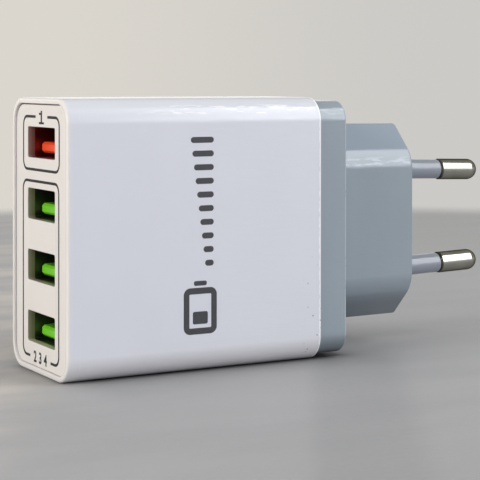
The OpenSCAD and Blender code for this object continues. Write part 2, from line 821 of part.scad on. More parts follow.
// Frame on the main board's solder side
module behind_board(x, z) {
    placed() translate([x, board_rear, z]) rotate([-90, 0, 0]) children();
}

module controller_chip() {
    color("black") behind_board(core_x, mid_z - 12) chip([4.9, 3.9, 1.5], 4);
}

module optocoupler() {
    color("black") behind_board(core_x, mid_z + 12) chip([4.4, 4.4, 1.9], 2);
}

module bridge_rectifier() {
    color("black") behind_board(core_x + 9.4, switch_z) chip([4.7, 3.9, 1.8], 2);
}

module port_chip(i) {
    color("black") placed() translate([port_board_end, -4, mid_z + (i == 0 ? 1 : -1) * port_pitch])
        rotate([0, 90, 0]) chip([4.9, 3.9, 1.4], 4);
}

// Round tube along a smooth curve, as rings square to the curve and closed at both ends
function curve(a, b, c, d, t) =
    a * pow(1 - t, 3) + 3 * b * t * pow(1 - t, 2) + 3 * c * t * t * (1 - t) + d * pow(t, 3);

module wire(a, b, c, d, thick) {
    steps = 12;
    sides = 10;
    points = [for (k = [0:steps]) curve(a, b, c, d, k / steps)];
    heading = [for (k = [0:steps]) unit(k == 0 ? b - a : k == steps ? d - c : points[k + 1] - points[k - 1])];
    rings = [for (k = [0:steps]) let (u = unit(cross(heading[k], [0, 0, 1])), v = cross(heading[k], u))
        for (n = [0:sides - 1]) points[k] + thick / 2 * (u * cos(360 * n / sides) + v * sin(360 * n / sides))];
    walls = [for (k = [0:steps - 1], n = [0:sides - 1]) let (m = (n + 1) % sides)
        [k * sides + n, k * sides + m, (k + 1) * sides + m, (k + 1) * sides + n]];
    polyhedron(rings, concat(
        [[for (n = [sides - 1:-1:0]) n]], walls, [[for (n = [0:sides - 1]) steps * sides + n]]
    ));
}

// Point on a pin's axis, counted from the block's end face back into the cover
function pin_axis(s, back) = [
    block_end - back * cos(pin_tilt), 0, mid_z + s * (pin_space / 2 + back * sin(pin_tilt))
];
fuse_l = 5.5;
fuse_d = 3;
wire_x = main_board_end - 1.5;
wire_sweep = 8;

module inline_fuse() {
    color("seashell") placed() on_pin(1) rod(-tail_back - fuse_l, -tail_back, fuse_d);
}

// Supply wire from a pin's axis to its pad on the main board
module supply_wire(s, back, pad_z) {
    pad = [wire_x, board_face, pad_z];
    placed() wire(pin_axis(s, back), pin_axis(s, back + wire_sweep), pad - [0, wire_sweep, 0], pad, wire_d);
}

module live_wire() {
    color("saddlebrown") supply_wire(1, tail_back + fuse_l, mid_z + 8);
}

module neutral_wire() {
    color("steelblue") supply_wire(-1, tail_back, mid_z - 16);
}

sleeve();
port_panel();
rear_cover();
pin(1);  // pin_upper
pin(-1);  // pin_lower
pin_collar(1);  // pin_collar_upper
pin_collar(-1);  // pin_collar_lower
for (i = ports) {
    usb_shell(i);
    usb_tongue(i);
    usb_contacts(i);
}
port_board();
main_board();
insulating_sheet();
transformer_core();
transformer_bobbin();
transformer_winding();
mains_capacitor(0);  // mains_capacitor_1
mains_capacitor(1);  // mains_capacitor_2
output_capacitor(0);  // output_capacitor_1
output_capacitor(1);  // output_capacitor_2
choke_core();
choke_winding();
interference_capacitor();
safety_capacitor();
inline_fuse();
bridge_rectifier();
power_switch();
controller_chip();
optocoupler();
output_rectifier();
rectifier_heatsink();
output_inductor();
port_chip(0);  // port_chip_1
port_chip(1);  // port_chip_2
live_wire();
neutral_wire();
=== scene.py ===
"""Looks of a wall charger: a white rounded sleeve, a panel with four USB sockets, and a grey cover
with a flat two-pin plug. Shapes are drawn in millimetres, with X from the front rim and Z from the
underside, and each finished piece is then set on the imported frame, in metres."""

import math

import bmesh
import bpy
from mathutils import Matrix, Quaternion, Vector


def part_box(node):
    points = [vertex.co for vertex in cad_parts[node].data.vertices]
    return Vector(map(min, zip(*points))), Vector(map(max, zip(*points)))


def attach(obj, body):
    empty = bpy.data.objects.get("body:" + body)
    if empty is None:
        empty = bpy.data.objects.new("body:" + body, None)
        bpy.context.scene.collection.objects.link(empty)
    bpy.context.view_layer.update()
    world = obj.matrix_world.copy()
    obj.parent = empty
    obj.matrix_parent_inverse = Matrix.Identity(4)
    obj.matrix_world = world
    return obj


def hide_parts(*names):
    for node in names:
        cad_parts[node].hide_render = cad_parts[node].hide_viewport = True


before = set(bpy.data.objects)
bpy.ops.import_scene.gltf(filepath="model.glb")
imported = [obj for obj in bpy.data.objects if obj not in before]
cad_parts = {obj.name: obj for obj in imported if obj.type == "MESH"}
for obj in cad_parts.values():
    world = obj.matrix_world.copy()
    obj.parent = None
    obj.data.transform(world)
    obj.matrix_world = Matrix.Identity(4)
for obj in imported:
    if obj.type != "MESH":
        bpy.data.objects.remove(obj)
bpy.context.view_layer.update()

MM = 0.001

# Sizes, in millimetres. First the white sleeve.
SLEEVE_LOW, SLEEVE_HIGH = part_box("sleeve")
FRONT_X = SLEEVE_LOW.x
SLEEVE_L = (SLEEVE_HIGH.x - SLEEVE_LOW.x) / MM
BODY_T = (SLEEVE_HIGH.y - SLEEVE_LOW.y) / MM
BODY_W = SLEEVE_HIGH.z / MM
MID_Z = BODY_W / 2
CORNER_R = 4.25
CORNER_SEGMENTS = 14
WALL = 1.8
RIM_WALL = 0.95
RIM_ROUND = 0.4
RIM_INNER_ROUND = 0.12
REAR_ROUND = 0.2

# The port panel and its windows.
PANEL_X = 0.4
PANEL_T = 1.3
PANEL_BACK = PANEL_X + PANEL_T
PANEL_GAP = 0.1
PANEL_SHIFT = 0.07
PANEL_ROUND = 0.2
SKIRT_L = 2.2
SKIRT_WALL = 0.9
WINDOW_W = 12.3
WINDOW_H = 5.2
WINDOW_R = 0.4
WINDOW_ROUND = 0.12
WINDOW_YS = (-WINDOW_W / 2, WINDOW_W / 2)
PORT_PITCH = 10.4
PORT_ZS = [MID_Z + (1.5 - i) * PORT_PITCH for i in range(4)]
# heights over which tones change from one window to the next
TO_TOP_WINDOW = (32, 34)
TO_LOWEST_WINDOW = (12, 10)
FROM_LOWEST_WINDOW = (13, 15)

# The sockets' tongues and contacts.
TONGUE_X = 2.9
TONGUE_TIP_X = 2.5
TONGUE_W = 11.1
TONGUE_T = 1.84
TONGUE_DROP = 0.94
TONGUE_CORNER = 0.9
TONGUE_CHAMFER = 0.4
TONGUE_ROUND = 0.05
TONGUE_ANGLE = 25
TONGUE_BASE_X = 11.3
TONGUE_END = 14.3
SHELL_IN_W = 12.5
SHELL_IN_H = 5.12
CONTACT_YS = (-3.5, -1.0, 1.0, 3.5)
CONTACT_STARTS = (1.0, 2.0, 2.0, 1.0)
CONTACT_W = 1.0
CONTACT_T = 0.2
CONTACT_FIT = 0.02
GROOVE_RISE = 0.3

# The rear cover with its flange and plug block.
COVER_STEP = 0.65
FLANGE_L = 5.75
FLANGE_R = CORNER_R - COVER_STEP
FLANGE_ROUND = 0.5
FLANGE_TOP = BODY_W - COVER_STEP
COVER_WALL = 1.9
LIP_L = 3.5
LIP_WALL = 1.3
BLOCK_X = SLEEVE_L + FLANGE_L
BLOCK_L = 17.8
BLOCK_END = BLOCK_X + BLOCK_L
BLOCK_W = 37.4
BLOCK_FLAT = 24.2
BLOCK_TOP_EDGE = MID_Z + BLOCK_FLAT / 2
BLOCK_LOW_EDGE = MID_Z - BLOCK_FLAT / 2
BLOCK_T = 13.6
BLOCK_DRAFT = 0.16
BLOCK_SIDE_R = 5.2
BLOCK_TIP_R = 1.4
BLOCK_END_ROUND = 0.4
HOLLOW_SIDE_R = 1.7
HOLLOW_TIP_R = 0.4
# how far the hollow's tips and its flats' ends draw in for each millimetre of wall
TIP_DRAWN_IN = 1.3
FLAT_DRAWN_IN = 0.6
END_WALL = 4.5

# The pins and collars, with X from the block's end.
PIN_D = 4.0
PIN_L = 19.0
PIN_SPACE = 18.6
PIN_TIP_SPACE = 17.5
PIN_TILT = math.asin((PIN_SPACE - PIN_TIP_SPACE) / 2 / PIN_L)
PIN_EDGE = 0.35
PIN_NOSE = 0.02
NECK_D = 2.8
ANCHOR_X = -5.4
ANCHOR_END = -4.2
ANCHOR_D = 5.0
COLLAR_D = 3.68
COLLAR_L = 10.0
COLLAR_SEAT = 1.5
COLLAR_ROUND = 0.25
SEAT_FIT = 0.03
NECK_FIT = 0.02
ROUND_SIDES = 64
# the least length of a square step in a turned outline
STEP = 0.001

# The printed marks: thickness of the ink and width of a line; places on the panel are (Y, Z).
INK_T = 0.02
INK_LINE = 0.45
FRAME_CORNER = 1.8
# low corner, high corner, the gap for the number, and whether the gap is in the upper side
FRAMES = (
    ("box_1", (-8.35, 33.88), (8.3, 43.25), (-2.9, 2.45), True),
    ("box_2", (-8.15, 2.25), (8.45, 32.38), (-4.35, 4.95), False),
)
FIGURE_ONE = (
    ("stem", (-0.5, 42.15), (0.1, 44.05)),
    ("foot", (-1.3, 41.8), (0.9, 42.15)),
    ("flag", (0.1, 43.35), (0.85, 43.7)),
)
# the sign on the big face, in (X, Z)
BATTERY = ((20.7, 6.6), (26.9, 14.4))
BATTERY_CORNER = 1.2
BATTERY_LINE = 1.05
BATTERY_CAP = ((22.6, 14.75), (25.0, 15.55))
BATTERY_FILL = ((22.4, 8.3), (25.2, 10.4))
SMALL_CORNER = 0.3
BAR_COUNT = 10
BAR_X = 26.3
BAR_Z = 18.0
BAR_PITCH = 2.3
BAR_T = 1.0
BAR_CORNER = 0.49
BAR_FIRST_L = 1.6
BAR_GROWTH = 0.3

SMOOTH_ANGLE = 38
SHARP_ANGLE = 40
# how far a cutter, or a piece that is joined, runs past the face it meets
OVERRUN = 1


# Modelling helpers
def choose(piece):
    """Makes a piece the active one, with nothing else selected."""
    bpy.ops.object.select_all(action="DESELECT")
    piece.select_set(True)
    bpy.context.view_layer.objects.active = piece


def edit(piece):
    """Opens a piece for editing."""
    choose(piece)
    bpy.ops.object.mode_set(mode="EDIT")


def close():
    """Ends the editing, with all normals outward."""
    bpy.ops.mesh.select_all(action="SELECT")
    bpy.ops.mesh.normals_make_consistent(inside=False)
    bpy.ops.object.mode_set(mode="OBJECT")
    return bpy.context.view_layer.objects.active


def named(name):
    """Names the primitive that was just added, and opens it."""
    piece = bpy.context.view_layer.objects.active
    piece.name = piece.data.name = name
    edit(piece)
    return piece


def block(name, low, high):
    """Starts a piece from a box between two corners."""
    bpy.ops.object.select_all(action="DESELECT")
    middle = [(a + b) / 2 for a, b in zip(low, high)]
    bpy.ops.mesh.primitive_cube_add(size=1, location=middle)
    piece = bpy.context.view_layer.objects.active
    piece.scale = [b - a for a, b in zip(low, high)]
    bpy.ops.object.transform_apply(location=True, rotation=True, scale=True)
    return named(name)


def lies(part, x=None, y=None, z=None, slack=0.01):
    """Whether all corners of an edge or face lie at the given places, each a number or a (low, high) pair."""
    for axis, place in enumerate((x, y, z)):
        if place is None:
            continue
        low, high = place if isinstance(place, tuple) else (place, place)
        for corner in part.verts:
            if not low - slack < corner.co[axis] < high + slack:
                return False
    return True


def pick(kind, test):
    """Selects the edges or faces of the edited piece that pass a test."""
    bpy.ops.mesh.select_mode(type=kind)
    bpy.ops.mesh.select_all(action="DESELECT")
    mesh = bpy.context.edit_object.data
    shape = bmesh.from_edit_mesh(mesh)
    shape.normal_update()
    for part in shape.edges if kind == "EDGE" else shape.faces:
        if test(part):
            part.select_set(True)
    bmesh.update_edit_mesh(mesh)


def facing(x, sign):
    """Test for the flat faces at a place along X that look forward (-1) or back (1)."""
    return lambda face: lies(face, x=x) and face.normal.x * sign > 0.9


def runs_along_x(edge):
    one, two = edge.verts
    return abs(one.co.x - two.co.x) > 0.9 * edge.calc_length() > 0


def is_sharp(edge):
    return len(edge.link_faces) == 2 and edge.calc_face_angle() > math.radians(SHARP_ANGLE)


def looks_outward(edge):
    """Whether the side face beside a rim edge looks away from the body's axis."""
    side = min(edge.link_faces, key=lambda face: abs(face.normal.x))
    middle = (edge.verts[0].co + edge.verts[1].co) / 2
    return side.normal.y * middle.y + side.normal.z * (middle.z - MID_Z) > 0


def bevel(width, segments):
    bpy.ops.mesh.bevel(offset=width, segments=segments, affect="EDGES", clamp_overlap=False)


def inset(width):
    bpy.ops.mesh.inset(thickness=width, depth=0, use_even_offset=True)


def extrude_x(length):
    bpy.ops.mesh.extrude_region_move(TRANSFORM_OT_translate={"value": (length, 0, 0)})


def modifier(piece, kind, **settings):
    """Adds a modifier to a piece and applies it."""
    choose(piece)
    added = piece.modifiers.new(kind.lower(), kind)
    for key, value in settings.items():
        setattr(added, key, value)
    bpy.ops.object.modifier_apply(modifier=added.name)


def combine(piece, tool, operation):
    """Joins a tool to a piece or cuts it out, and removes the tool."""
    modifier(piece, "BOOLEAN", operation=operation, object=tool, solver="EXACT")
    bpy.data.objects.remove(tool)


def copied(piece, name):
    """A copy of a piece, with a mesh of its own."""
    choose(piece)
    bpy.ops.object.duplicate()
    made = bpy.context.view_layer.objects.active
    made.name = made.data.name = name
    return made


def turned(name, stations):
    """A turned solid about X: stations are (x, radius) pairs from its start to its end."""
    bpy.ops.object.select_all(action="DESELECT")
    x, radius = stations[0]
    upright = (0, math.pi / 2, 0)
    bpy.ops.mesh.primitive_circle_add(
        vertices=ROUND_SIDES, radius=radius, fill_type="NGON", location=(x, 0, 0), rotation=upright
    )
    bpy.ops.object.transform_apply(location=True, rotation=True, scale=True)
    piece = named(name)
    bpy.ops.mesh.select_all(action="SELECT")
    for next_x, next_radius in stations[1:]:
        extrude_x(next_x - x)
        ratio = next_radius / radius
        bpy.ops.transform.resize(value=(1, ratio, ratio), center_override=(next_x, 0, 0))
        x, radius = next_x, next_radius
    close()
    return piece


def arc_stations(x, radius, round_r, steps):
    """Stations of a quarter round of round_r that ends at x, on a bar of the given radius."""
    turns = [math.pi / 2 * i / steps for i in range(steps + 1)]
    return [(x - round_r + round_r * math.sin(t), radius - round_r + round_r * math.cos(t)) for t in turns]


def set_on_frame(piece, finish, nodes):
    """Turns millimetres into metres, places a piece on the frame, and gives it its shading and finish."""
    choose(piece)
    piece.location = Vector((FRONT_X, 0, 0)) + Vector(piece.location) * MM
    piece.scale = (MM, MM, MM)
    bpy.ops.object.transform_apply(location=True, rotation=True, scale=True)
    bpy.ops.object.shade_smooth_by_angle(angle=math.radians(SMOOTH_ANGLE))
    modifier(piece, "WEIGHTED_NORMAL", keep_sharp=True, weight=60)
    piece.data.materials.clear()
    piece.data.materials.append(finish)
    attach(piece, "root")
    if nodes:
        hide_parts(*nodes)
    return piece


# Shader node helpers
def add_node(tree, kind, settings=None, inputs=None):
    """Adds a node with its settings, then fills or links its sockets."""
    made = tree.nodes.new(kind)
    for key, value in (settings or {}).items():
        setattr(made, key, value)
    for key, value in (inputs or {}).items():
        if isinstance(value, Wire):
            value = value.socket
        if isinstance(value, bpy.types.NodeSocket):
            tree.links.new(value, made.inputs[key])
        else:
            made.inputs[key].default_value = value
    return made


class Wire:
    """One output of a shader node. Arithmetic on it adds Math nodes."""

    def __init__(self, tree, socket):
        self.tree = tree
        self.socket = socket

    def math(self, operation, *others):
        terms = dict(enumerate((self, *others)))
        made = add_node(self.tree, "ShaderNodeMath", {"operation": operation}, terms)
        return Wire(self.tree, made.outputs[0])

    def __add__(self, other):
        return self.math("ADD", other)

    def __sub__(self, other):
        return self.math("SUBTRACT", other)

    def __rsub__(self, other):
        return self.math("MULTIPLY", -1) + other

    def __mul__(self, other):
        return self.math("MULTIPLY", other)

    def __gt__(self, other):
        return self.math("GREATER_THAN", other)

    __radd__ = __add__
    __rmul__ = __mul__

    def step(self, low, high):
        """Rises smoothly from 0 at low to 1 at high; falls where low is the greater."""
        start, end = (0, 1) if low < high else (1, 0)
        ends = {"From Min": min(low, high), "From Max": max(low, high), "To Min": start, "To Max": end}
        smooth = {"interpolation_type": "SMOOTHSTEP"}
        made = add_node(self.tree, "ShaderNodeMapRange", smooth, {"Value": self, **ends})
        return Wire(self.tree, made.outputs[0])


class Finish:
    """A material and its nodes. place is the Object coordinate in millimetres."""

    def __init__(self, name, color, **constants):
        self.material = bpy.data.materials.new(name)
        self.material.use_nodes = True
        self.tree = self.material.node_tree
        self.tree.nodes.clear()
        self.output = self.node("ShaderNodeOutputMaterial")
        self.shader = self.node("ShaderNodeBsdfPrincipled", {}, {"Base Color": (*color, 1), **constants})
        self.tree.links.new(self.shader.outputs[0], self.output.inputs["Surface"])
        where = self.node("ShaderNodeTexCoord").outputs["Object"]
        self.place = self.vector("SCALE", where, 1 / MM)
        split = self.node("ShaderNodeSeparateXYZ", {}, {"Vector": self.place})
        self.x, self.y, self.z = (Wire(self.tree, socket) for socket in split.outputs)

    def node(self, kind, settings=None, inputs=None):
        return add_node(self.tree, kind, settings, inputs)

    def behind_rim(self):
        """X from the front rim, as the sizes above count it."""
        return self.x - FRONT_X / MM

    def vector(self, operation, one, two):
        second = "Scale" if operation == "SCALE" else 1
        return self.node("ShaderNodeVectorMath", {"operation": operation}, {0: one, second: two}).outputs[0]

    def stretched(self, x=1.0, y=1.0, z=1.0):
        """The place with each axis scaled, for grain that is longer one way."""
        return self.vector("MULTIPLY", self.place, (x, y, z))

    def noise(self, size, detail=2.0, rough=0.5, place=None):
        """Soft noise from 0 to 1, with features of about that size in millimetres."""
        values = {"Vector": place or self.place, "Scale": 1 / size, "Detail": detail, "Roughness": rough}
        return Wire(self.tree, self.node("ShaderNodeTexNoise", {}, values).outputs[0])

    def cells(self, size):
        """Cells of about that size: the distance to the nearest point, and each cell's random number."""
        made = self.node("ShaderNodeTexVoronoi", {"feature": "F1"}, {"Vector": self.place, "Scale": 1 / size})
        number = self.node("ShaderNodeSeparateColor", {}, {0: made.outputs["Color"]})
        return Wire(self.tree, made.outputs["Distance"]), Wire(self.tree, number.outputs[0])

    def specks(self, size, spacing, share):
        """Mask of small round specks, a share of one for each cell of the spacing."""
        distance, number = self.cells(spacing)
        return distance.step(size / spacing, size / spacing * 0.6) * (number > 1 - share)

    def mixed(self, mask, one, two):
        """Colour one where the mask is 0 and colour two where it is 1."""
        inputs = {0: mask, 6: self.color(one), 7: self.color(two)}
        return self.node("ShaderNodeMix", {"data_type": "RGBA"}, inputs).outputs[2]

    @staticmethod
    def color(value):
        return (*value, 1) if isinstance(value, tuple) and len(value) == 3 else value

    def feed(self, **sockets):
        """Links values to the shader's sockets; a name's underscores stand for spaces."""
        for key, value in sockets.items():
            socket = value.socket if isinstance(value, Wire) else value
            self.tree.links.new(socket, self.shader.inputs[key.replace("_", " ")])

    def relief(self, height):
        """Bump from a height in millimetres."""
        made = self.node("ShaderNodeBump", {}, {"Height": height, "Distance": MM, "Strength": 1.0})
        self.feed(Normal=made.outputs[0])


def shaded(color, *factors):
    """A colour times one factor, or times one for each of its parts."""
    if len(factors) == 1:
        factors = factors * 3
    return tuple(part * factor for part, factor in zip(color, factors))


def srgb(*color):
    """The linear colour of an 8-bit screen colour."""
    parts = [part / 255 for part in color]
    return tuple(part / 12.92 if part < 0.04045 else ((part + 0.055) / 1.055) ** 2.4 for part in parts)


# Finishes of what shows
def white_plastic():
    """Glossy white moulding: gentle waves, fine peel, a witness line near the mouth, nicks with a painted
    highlight along the rear edge, and painted glints on the upper rounding.
    """
    own = Finish("white_plastic", (0.80, 0.805, 0.845), **{"Specular IOR Level": 0.55})
    x, z = own.behind_rim(), own.z
    rim = x.step(0.67, 0.17)
    top_face = z.step(BODY_W - 0.25, BODY_W - 0.05)
    foot = z.step(6, 0.5)
    rear_edge = (x + own.noise(0.9, 3) * 0.7).step(SLEEVE_L - 0.13, SLEEVE_L + 0.07)
    base = own.mixed(own.noise(9, 3), (0.765, 0.775, 0.825), (0.80, 0.81, 0.86))
    # painted warm light: the front rim is tinted warmer
    base = own.mixed(rim, base, (0.88, 0.845, 0.805))
    # painted shade: the flat top face is darkened
    base = own.mixed(top_face * 0.7, base, (0.55, 0.55, 0.56))
    # painted reflection of the floor: the lowest part turns warmer and paler
    base = own.mixed(foot * 0.8, base, (0.84, 0.82, 0.80))
    # painted highlight along the rear edge, broken up by chips
    base = own.mixed(rear_edge, base, (1.0, 1.0, 1.0))
    # painted glints: short bright streaks along the upper rounding, where its highlight lies
    rounding = z.step(BODY_W - 3.0, BODY_W - 2.3) * z.step(BODY_W - 1.0, BODY_W - 1.4) * x.step(9, 25)
    painted_glints = own.noise(0.5, 2, place=own.stretched(0.16, 1, 1)).step(0.52, 0.66) * rounding
    base = own.mixed(painted_glints, base, (1.0, 1.0, 1.0))
    # specks of dirt, more of them low at the rear
    low_rear = x.step(SLEEVE_L - 4.5, SLEEVE_L - 1.3) * z.step(20, 12)
    dirt = own.specks(0.20, 0.9, 0.34) * low_rear + own.specks(0.12, 5.0, 0.06)
    base = own.mixed(dirt * 0.75, base, (0.20, 0.19, 0.20))
    own.feed(Base_Color=base, Roughness=own.noise(3.0, 3) * 0.08 + 0.16)
    waves = own.noise(7.5, 1, place=own.stretched(0.45, 1, 1)) * 0.030
    peel = own.noise(0.7, 2) * 0.0016
    witness_line = x.step(2.27, 2.07) * x.step(1.82, 2.02) * 0.012
    streaks = own.noise(0.8, 2, place=own.stretched(0.2, 1, 1)) * x.step(9, 33) * 0.022
    nicks = own.noise(0.5, 3) * x.step(SLEEVE_L - 0.8, SLEEVE_L - 0.1) * 0.06
    own.relief(waves + peel + witness_line + streaks + nicks)
    return own.material


def panel_plastic():
    """Satin warm white moulding, with the shade that lies in its windows."""
    own = Finish("panel_plastic", (0.83, 0.79, 0.755), Roughness=0.4)
    x, z = own.behind_rim(), own.z
    base = own.mixed(own.noise(5, 3), (0.81, 0.77, 0.735), (0.845, 0.805, 0.77))
    # painted shade: the windows' walls darken inwards, with painted bounce light in the colour of the nearest
    # tongue
    in_top_window = z.step(*TO_TOP_WINDOW)
    shade = own.mixed(in_top_window, (0.21, 0.20, 0.09), (0.25, 0.10, 0.075))
    # their lower faces catch more light, most in the lowest window
    edges = [port_z - WINDOW_H / 2 for port_z in PORT_ZS]
    low_face = sum(z.step(edge + 0.12, edge + 0.05) * z.step(edge - 0.15, edge - 0.1) for edge in edges)
    low_shade = own.mixed(z.step(*TO_LOWEST_WINDOW), (0.28, 0.215, 0.155), (0.48, 0.45, 0.29))
    low_shade = own.mixed(in_top_window, low_shade, (0.08, 0.02, 0.015))
    shade = own.mixed(low_face, shade, low_shade)
    inward = x.step(PANEL_X, PANEL_X + 0.17) * 0.76 + x.step(PANEL_X + 0.22, PANEL_X + 1.12) * 0.2
    base = own.mixed(inward, base, shade)
    own.feed(Base_Color=base, Roughness=own.noise(2.2, 3) * 0.1 + 0.35)
    own.relief(own.noise(0.35, 2) * 0.0012 + own.noise(6, 1) * 0.012)
    return own.material


def grey_plastic(name="grey_plastic", tint=(0.328, 0.382, 0.418)):
    """Satin blue-grey moulding with fine peel and faint flow marks, with painted highlights on its edges and
    roundings and painted shade underneath.
    """
    own = Finish(name, tint, **{"Specular IOR Level": 0.62})
    x, z = own.behind_rim(), own.z
    on_block = x.step(BLOCK_X + 0.07, BLOCK_X + 0.37)
    base = own.mixed(own.noise(7, 4, place=own.stretched(1, 1, 0.4)), shaded(tint, 0.95), shaded(tint, 1.05))
    base = own.mixed(own.specks(0.10, 2.6, 0.05) * 0.4, base, (0.55, 0.58, 0.60))
    # painted highlight: the flange's rear edge is made pale, broken up by noise
    flange_edge = x.step(BLOCK_X - 0.48, BLOCK_X - 0.23) * x.step(BLOCK_X - 0.015, BLOCK_X - 0.05)
    wear_and_highlight = flange_edge * own.noise(1.5, 3).step(0.2, 0.5)
    base = own.mixed(wear_and_highlight * 0.7, base, (0.62, 0.66, 0.70))
    # painted glints: short bright streaks along the upper roundings of the block and the flange, where their
    # highlight lies
    edge = BLOCK_TOP_EDGE
    block_rounding = z.step(edge - 1.9, edge - 1.4) * z.step(edge + 0.4, edge - 0.8)
    block_rounding = block_rounding * on_block * x.step(BLOCK_END - 0.43, BLOCK_END - 0.83)
    top = FLANGE_TOP
    flange_rounding = z.step(top - 2.65, top - 2.15) * z.step(top - 0.95, top - 1.35)
    flange_rounding = flange_rounding * x.step(BLOCK_X - 0.03, BLOCK_X - 0.43)
    painted_glints = own.noise(0.55, 2, place=own.stretched(0.17, 1, 1)).step(0.50, 0.68)
    painted_glints = painted_glints * (block_rounding + flange_rounding * 0.7)
    base = own.mixed(painted_glints * 0.55, base, (0.60, 0.68, 0.77))
    # painted cool sheen: the upper slope is bluer and a little paler
    upper_slope = z.step(edge + 0.2, edge + 1.1) * on_block
    base = own.mixed(upper_slope, base, shaded(tint, 1.04, 1.05, 1.12))
    # painted shade: the undersides of the block and the flange are darkened
    block_under = z.step(BLOCK_LOW_EDGE - 0.5, BLOCK_LOW_EDGE - 3.5) * on_block
    flange_under = z.step(COVER_STEP + 4.55, COVER_STEP + 1.55) * x.step(BLOCK_X - 0.03, BLOCK_X - 0.23)
    base = own.mixed((block_under + flange_under) * 0.5, base, shaded(tint, 0.45))
    own.feed(Base_Color=base, Roughness=own.noise(1.6, 3) * 0.09 + 0.15)
    streaks = own.noise(0.8, 2, place=own.stretched(0.3, 1, 1)) * 0.02
    own.relief(own.noise(0.55, 2) * 0.0022 + own.noise(4.5, 1) * 0.014 + streaks)
    return own.material


def collar_plastic():
    return grey_plastic("collar_plastic", (0.32, 0.345, 0.39))


def pin_metal():
    """Polished nickel plate with turning marks and light scratches, dark where it leaves the collar."""
    own = Finish("pin_metal", (0.3, 0.29, 0.22), Metallic=1.0, **{"Specular Tint": (0.12, 0.11, 0.08, 1)})
    turning = own.noise(0.12, 2, place=own.stretched(1, 0.05, 0.05))
    scratch = own.noise(0.5, 3, place=own.stretched(0.12, 1.6, 1.6))
    collar_end = BLOCK_END + COLLAR_L
    shoulder = own.behind_rim().step(collar_end + 0.57, collar_end + 0.17)
    base = own.mixed(own.noise(2.5, 3), (0.30, 0.295, 0.25), (0.43, 0.425, 0.37))
    base = own.mixed(shoulder * 0.8, base, (0.03, 0.03, 0.025))
    own.feed(Base_Color=base, Roughness=scratch * 0.10 + 0.08)
    own.relief(turning * 0.0004 + scratch * 0.0008)
    return own.material


def tongue_plastic(name, tint, deep):
    """Saturated glossy plastic with a slight colour change, and painted shade that turns it dark towards its
    base.
    """
    own = Finish(name, tint, Roughness=0.35)
    base = own.mixed(own.noise(1.2, 3), deep, tint)
    # painted shade deep in the socket, towards the tongue's base
    base = own.mixed(own.behind_rim().step(5.5, 10.5), base, shaded(deep, 0.04))
    own.feed(Base_Color=base, Roughness=own.noise(0.5, 2) * 0.2 + 0.28)
    own.relief(own.noise(0.3, 2) * 0.003)
    return own.material


def socket_metal():
    """Dull tinned sheet with rolling marks, with a painted reflection of the tongue that it holds and painted
    shade in the middle sockets.
    """
    own = Finish("socket_metal", (0.14, 0.14, 0.12), Metallic=1.0, Roughness=0.4)
    grain = own.noise(0.35, 3, place=own.stretched(0.15, 1, 1))
    in_top = own.z.step(*TO_TOP_WINDOW)
    in_middle = own.z.step(*FROM_LOWEST_WINDOW) * (1 - in_top)
    base = own.mixed(own.noise(2.0, 3), (0.10, 0.10, 0.085), (0.18, 0.18, 0.155))
    # painted shade in the middle sockets
    base = own.mixed(in_middle * 0.5, base, (0.075, 0.050, 0.055))
    # painted red reflection of the orange tongue in the top socket
    base = own.mixed(in_top * 0.8, base, (0.26, 0.03, 0.02))
    own.feed(Base_Color=base, Roughness=grain * 0.25 + 0.25)
    own.relief(grain * 0.002)
    return own.material


def contact_metal():
    """Gold-flashed contact strip, with wear along its middle."""
    own = Finish("contact_metal", (0.85, 0.62, 0.28), Metallic=1.0, Roughness=0.25)
    wear_and_highlight = own.noise(0.8, 3, place=own.stretched(0.3, 1, 1))
    base = own.mixed(wear_and_highlight.step(0.5, 0.7), (0.86, 0.63, 0.28), (0.72, 0.66, 0.55))
    own.feed(Base_Color=base, Roughness=wear_and_highlight * 0.2 + 0.15)
    own.relief(wear_and_highlight * 0.002)
    return own.material


def print_ink(name, dark, light, shine):
    """Screen-printed dark grey ink, thin and slightly uneven."""
    own = Finish(name, dark, **{"Specular IOR Level": shine})
    base = own.mixed(own.noise(0.5, 4), dark, light)
    own.feed(Base_Color=base, Roughness=own.noise(0.3, 3) * 0.2 + 0.38)
    own.relief(own.noise(0.15, 2) * 0.002)
    return own.material


# Finishes inside the case
def plain_inner(name, dark, light, grain, rough, metallic=0.0, stretch=(1, 1, 1)):
    """A finish with two tones and a grain size."""
    own = Finish(name, light, Roughness=rough, Metallic=metallic)
    pattern = own.noise(grain, 4, 0.6, place=own.stretched(*stretch))
    uneven = own.noise(grain * 2, 3) * 0.15 + (rough - 0.07)
    own.feed(Base_Color=own.mixed(pattern, dark, light), Roughness=uneven)
    own.relief(pattern * 0.01)
    return own.material


def circuit_board():
    """Green solder mask over copper tracks, with paler tinned spots."""
    own = Finish("circuit_board", (0.02, 0.16, 0.05), Roughness=0.35)
    distance, number = own.cells(2.4)
    track = (own.noise(3.0, 0, place=own.stretched(1, 1, 0.25)) * 14).math("FRACT") > 0.55
    base = own.mixed(track, (0.012, 0.11, 0.035), (0.03, 0.21, 0.06))
    base = own.mixed(distance.step(0.16, 0.12) * (number > 0.55), base, (0.62, 0.62, 0.58))
    own.feed(Base_Color=base)
    own.relief(track * 0.02)
    return own.material


def winding_turns(name, dark, light, pitch):
    """Enamelled wire or tape wound in turns of the given pitch about the part."""
    own = Finish(name, light, Roughness=0.3)
    turns = (own.x * (2 * math.pi / pitch)).math("SINE")
    base = own.mixed(turns.step(-1, 1), dark, light)
    own.feed(Base_Color=base, Roughness=own.noise(0.6, 3) * 0.2 + 0.22)
    own.relief(turns * 0.03)
    return own.material


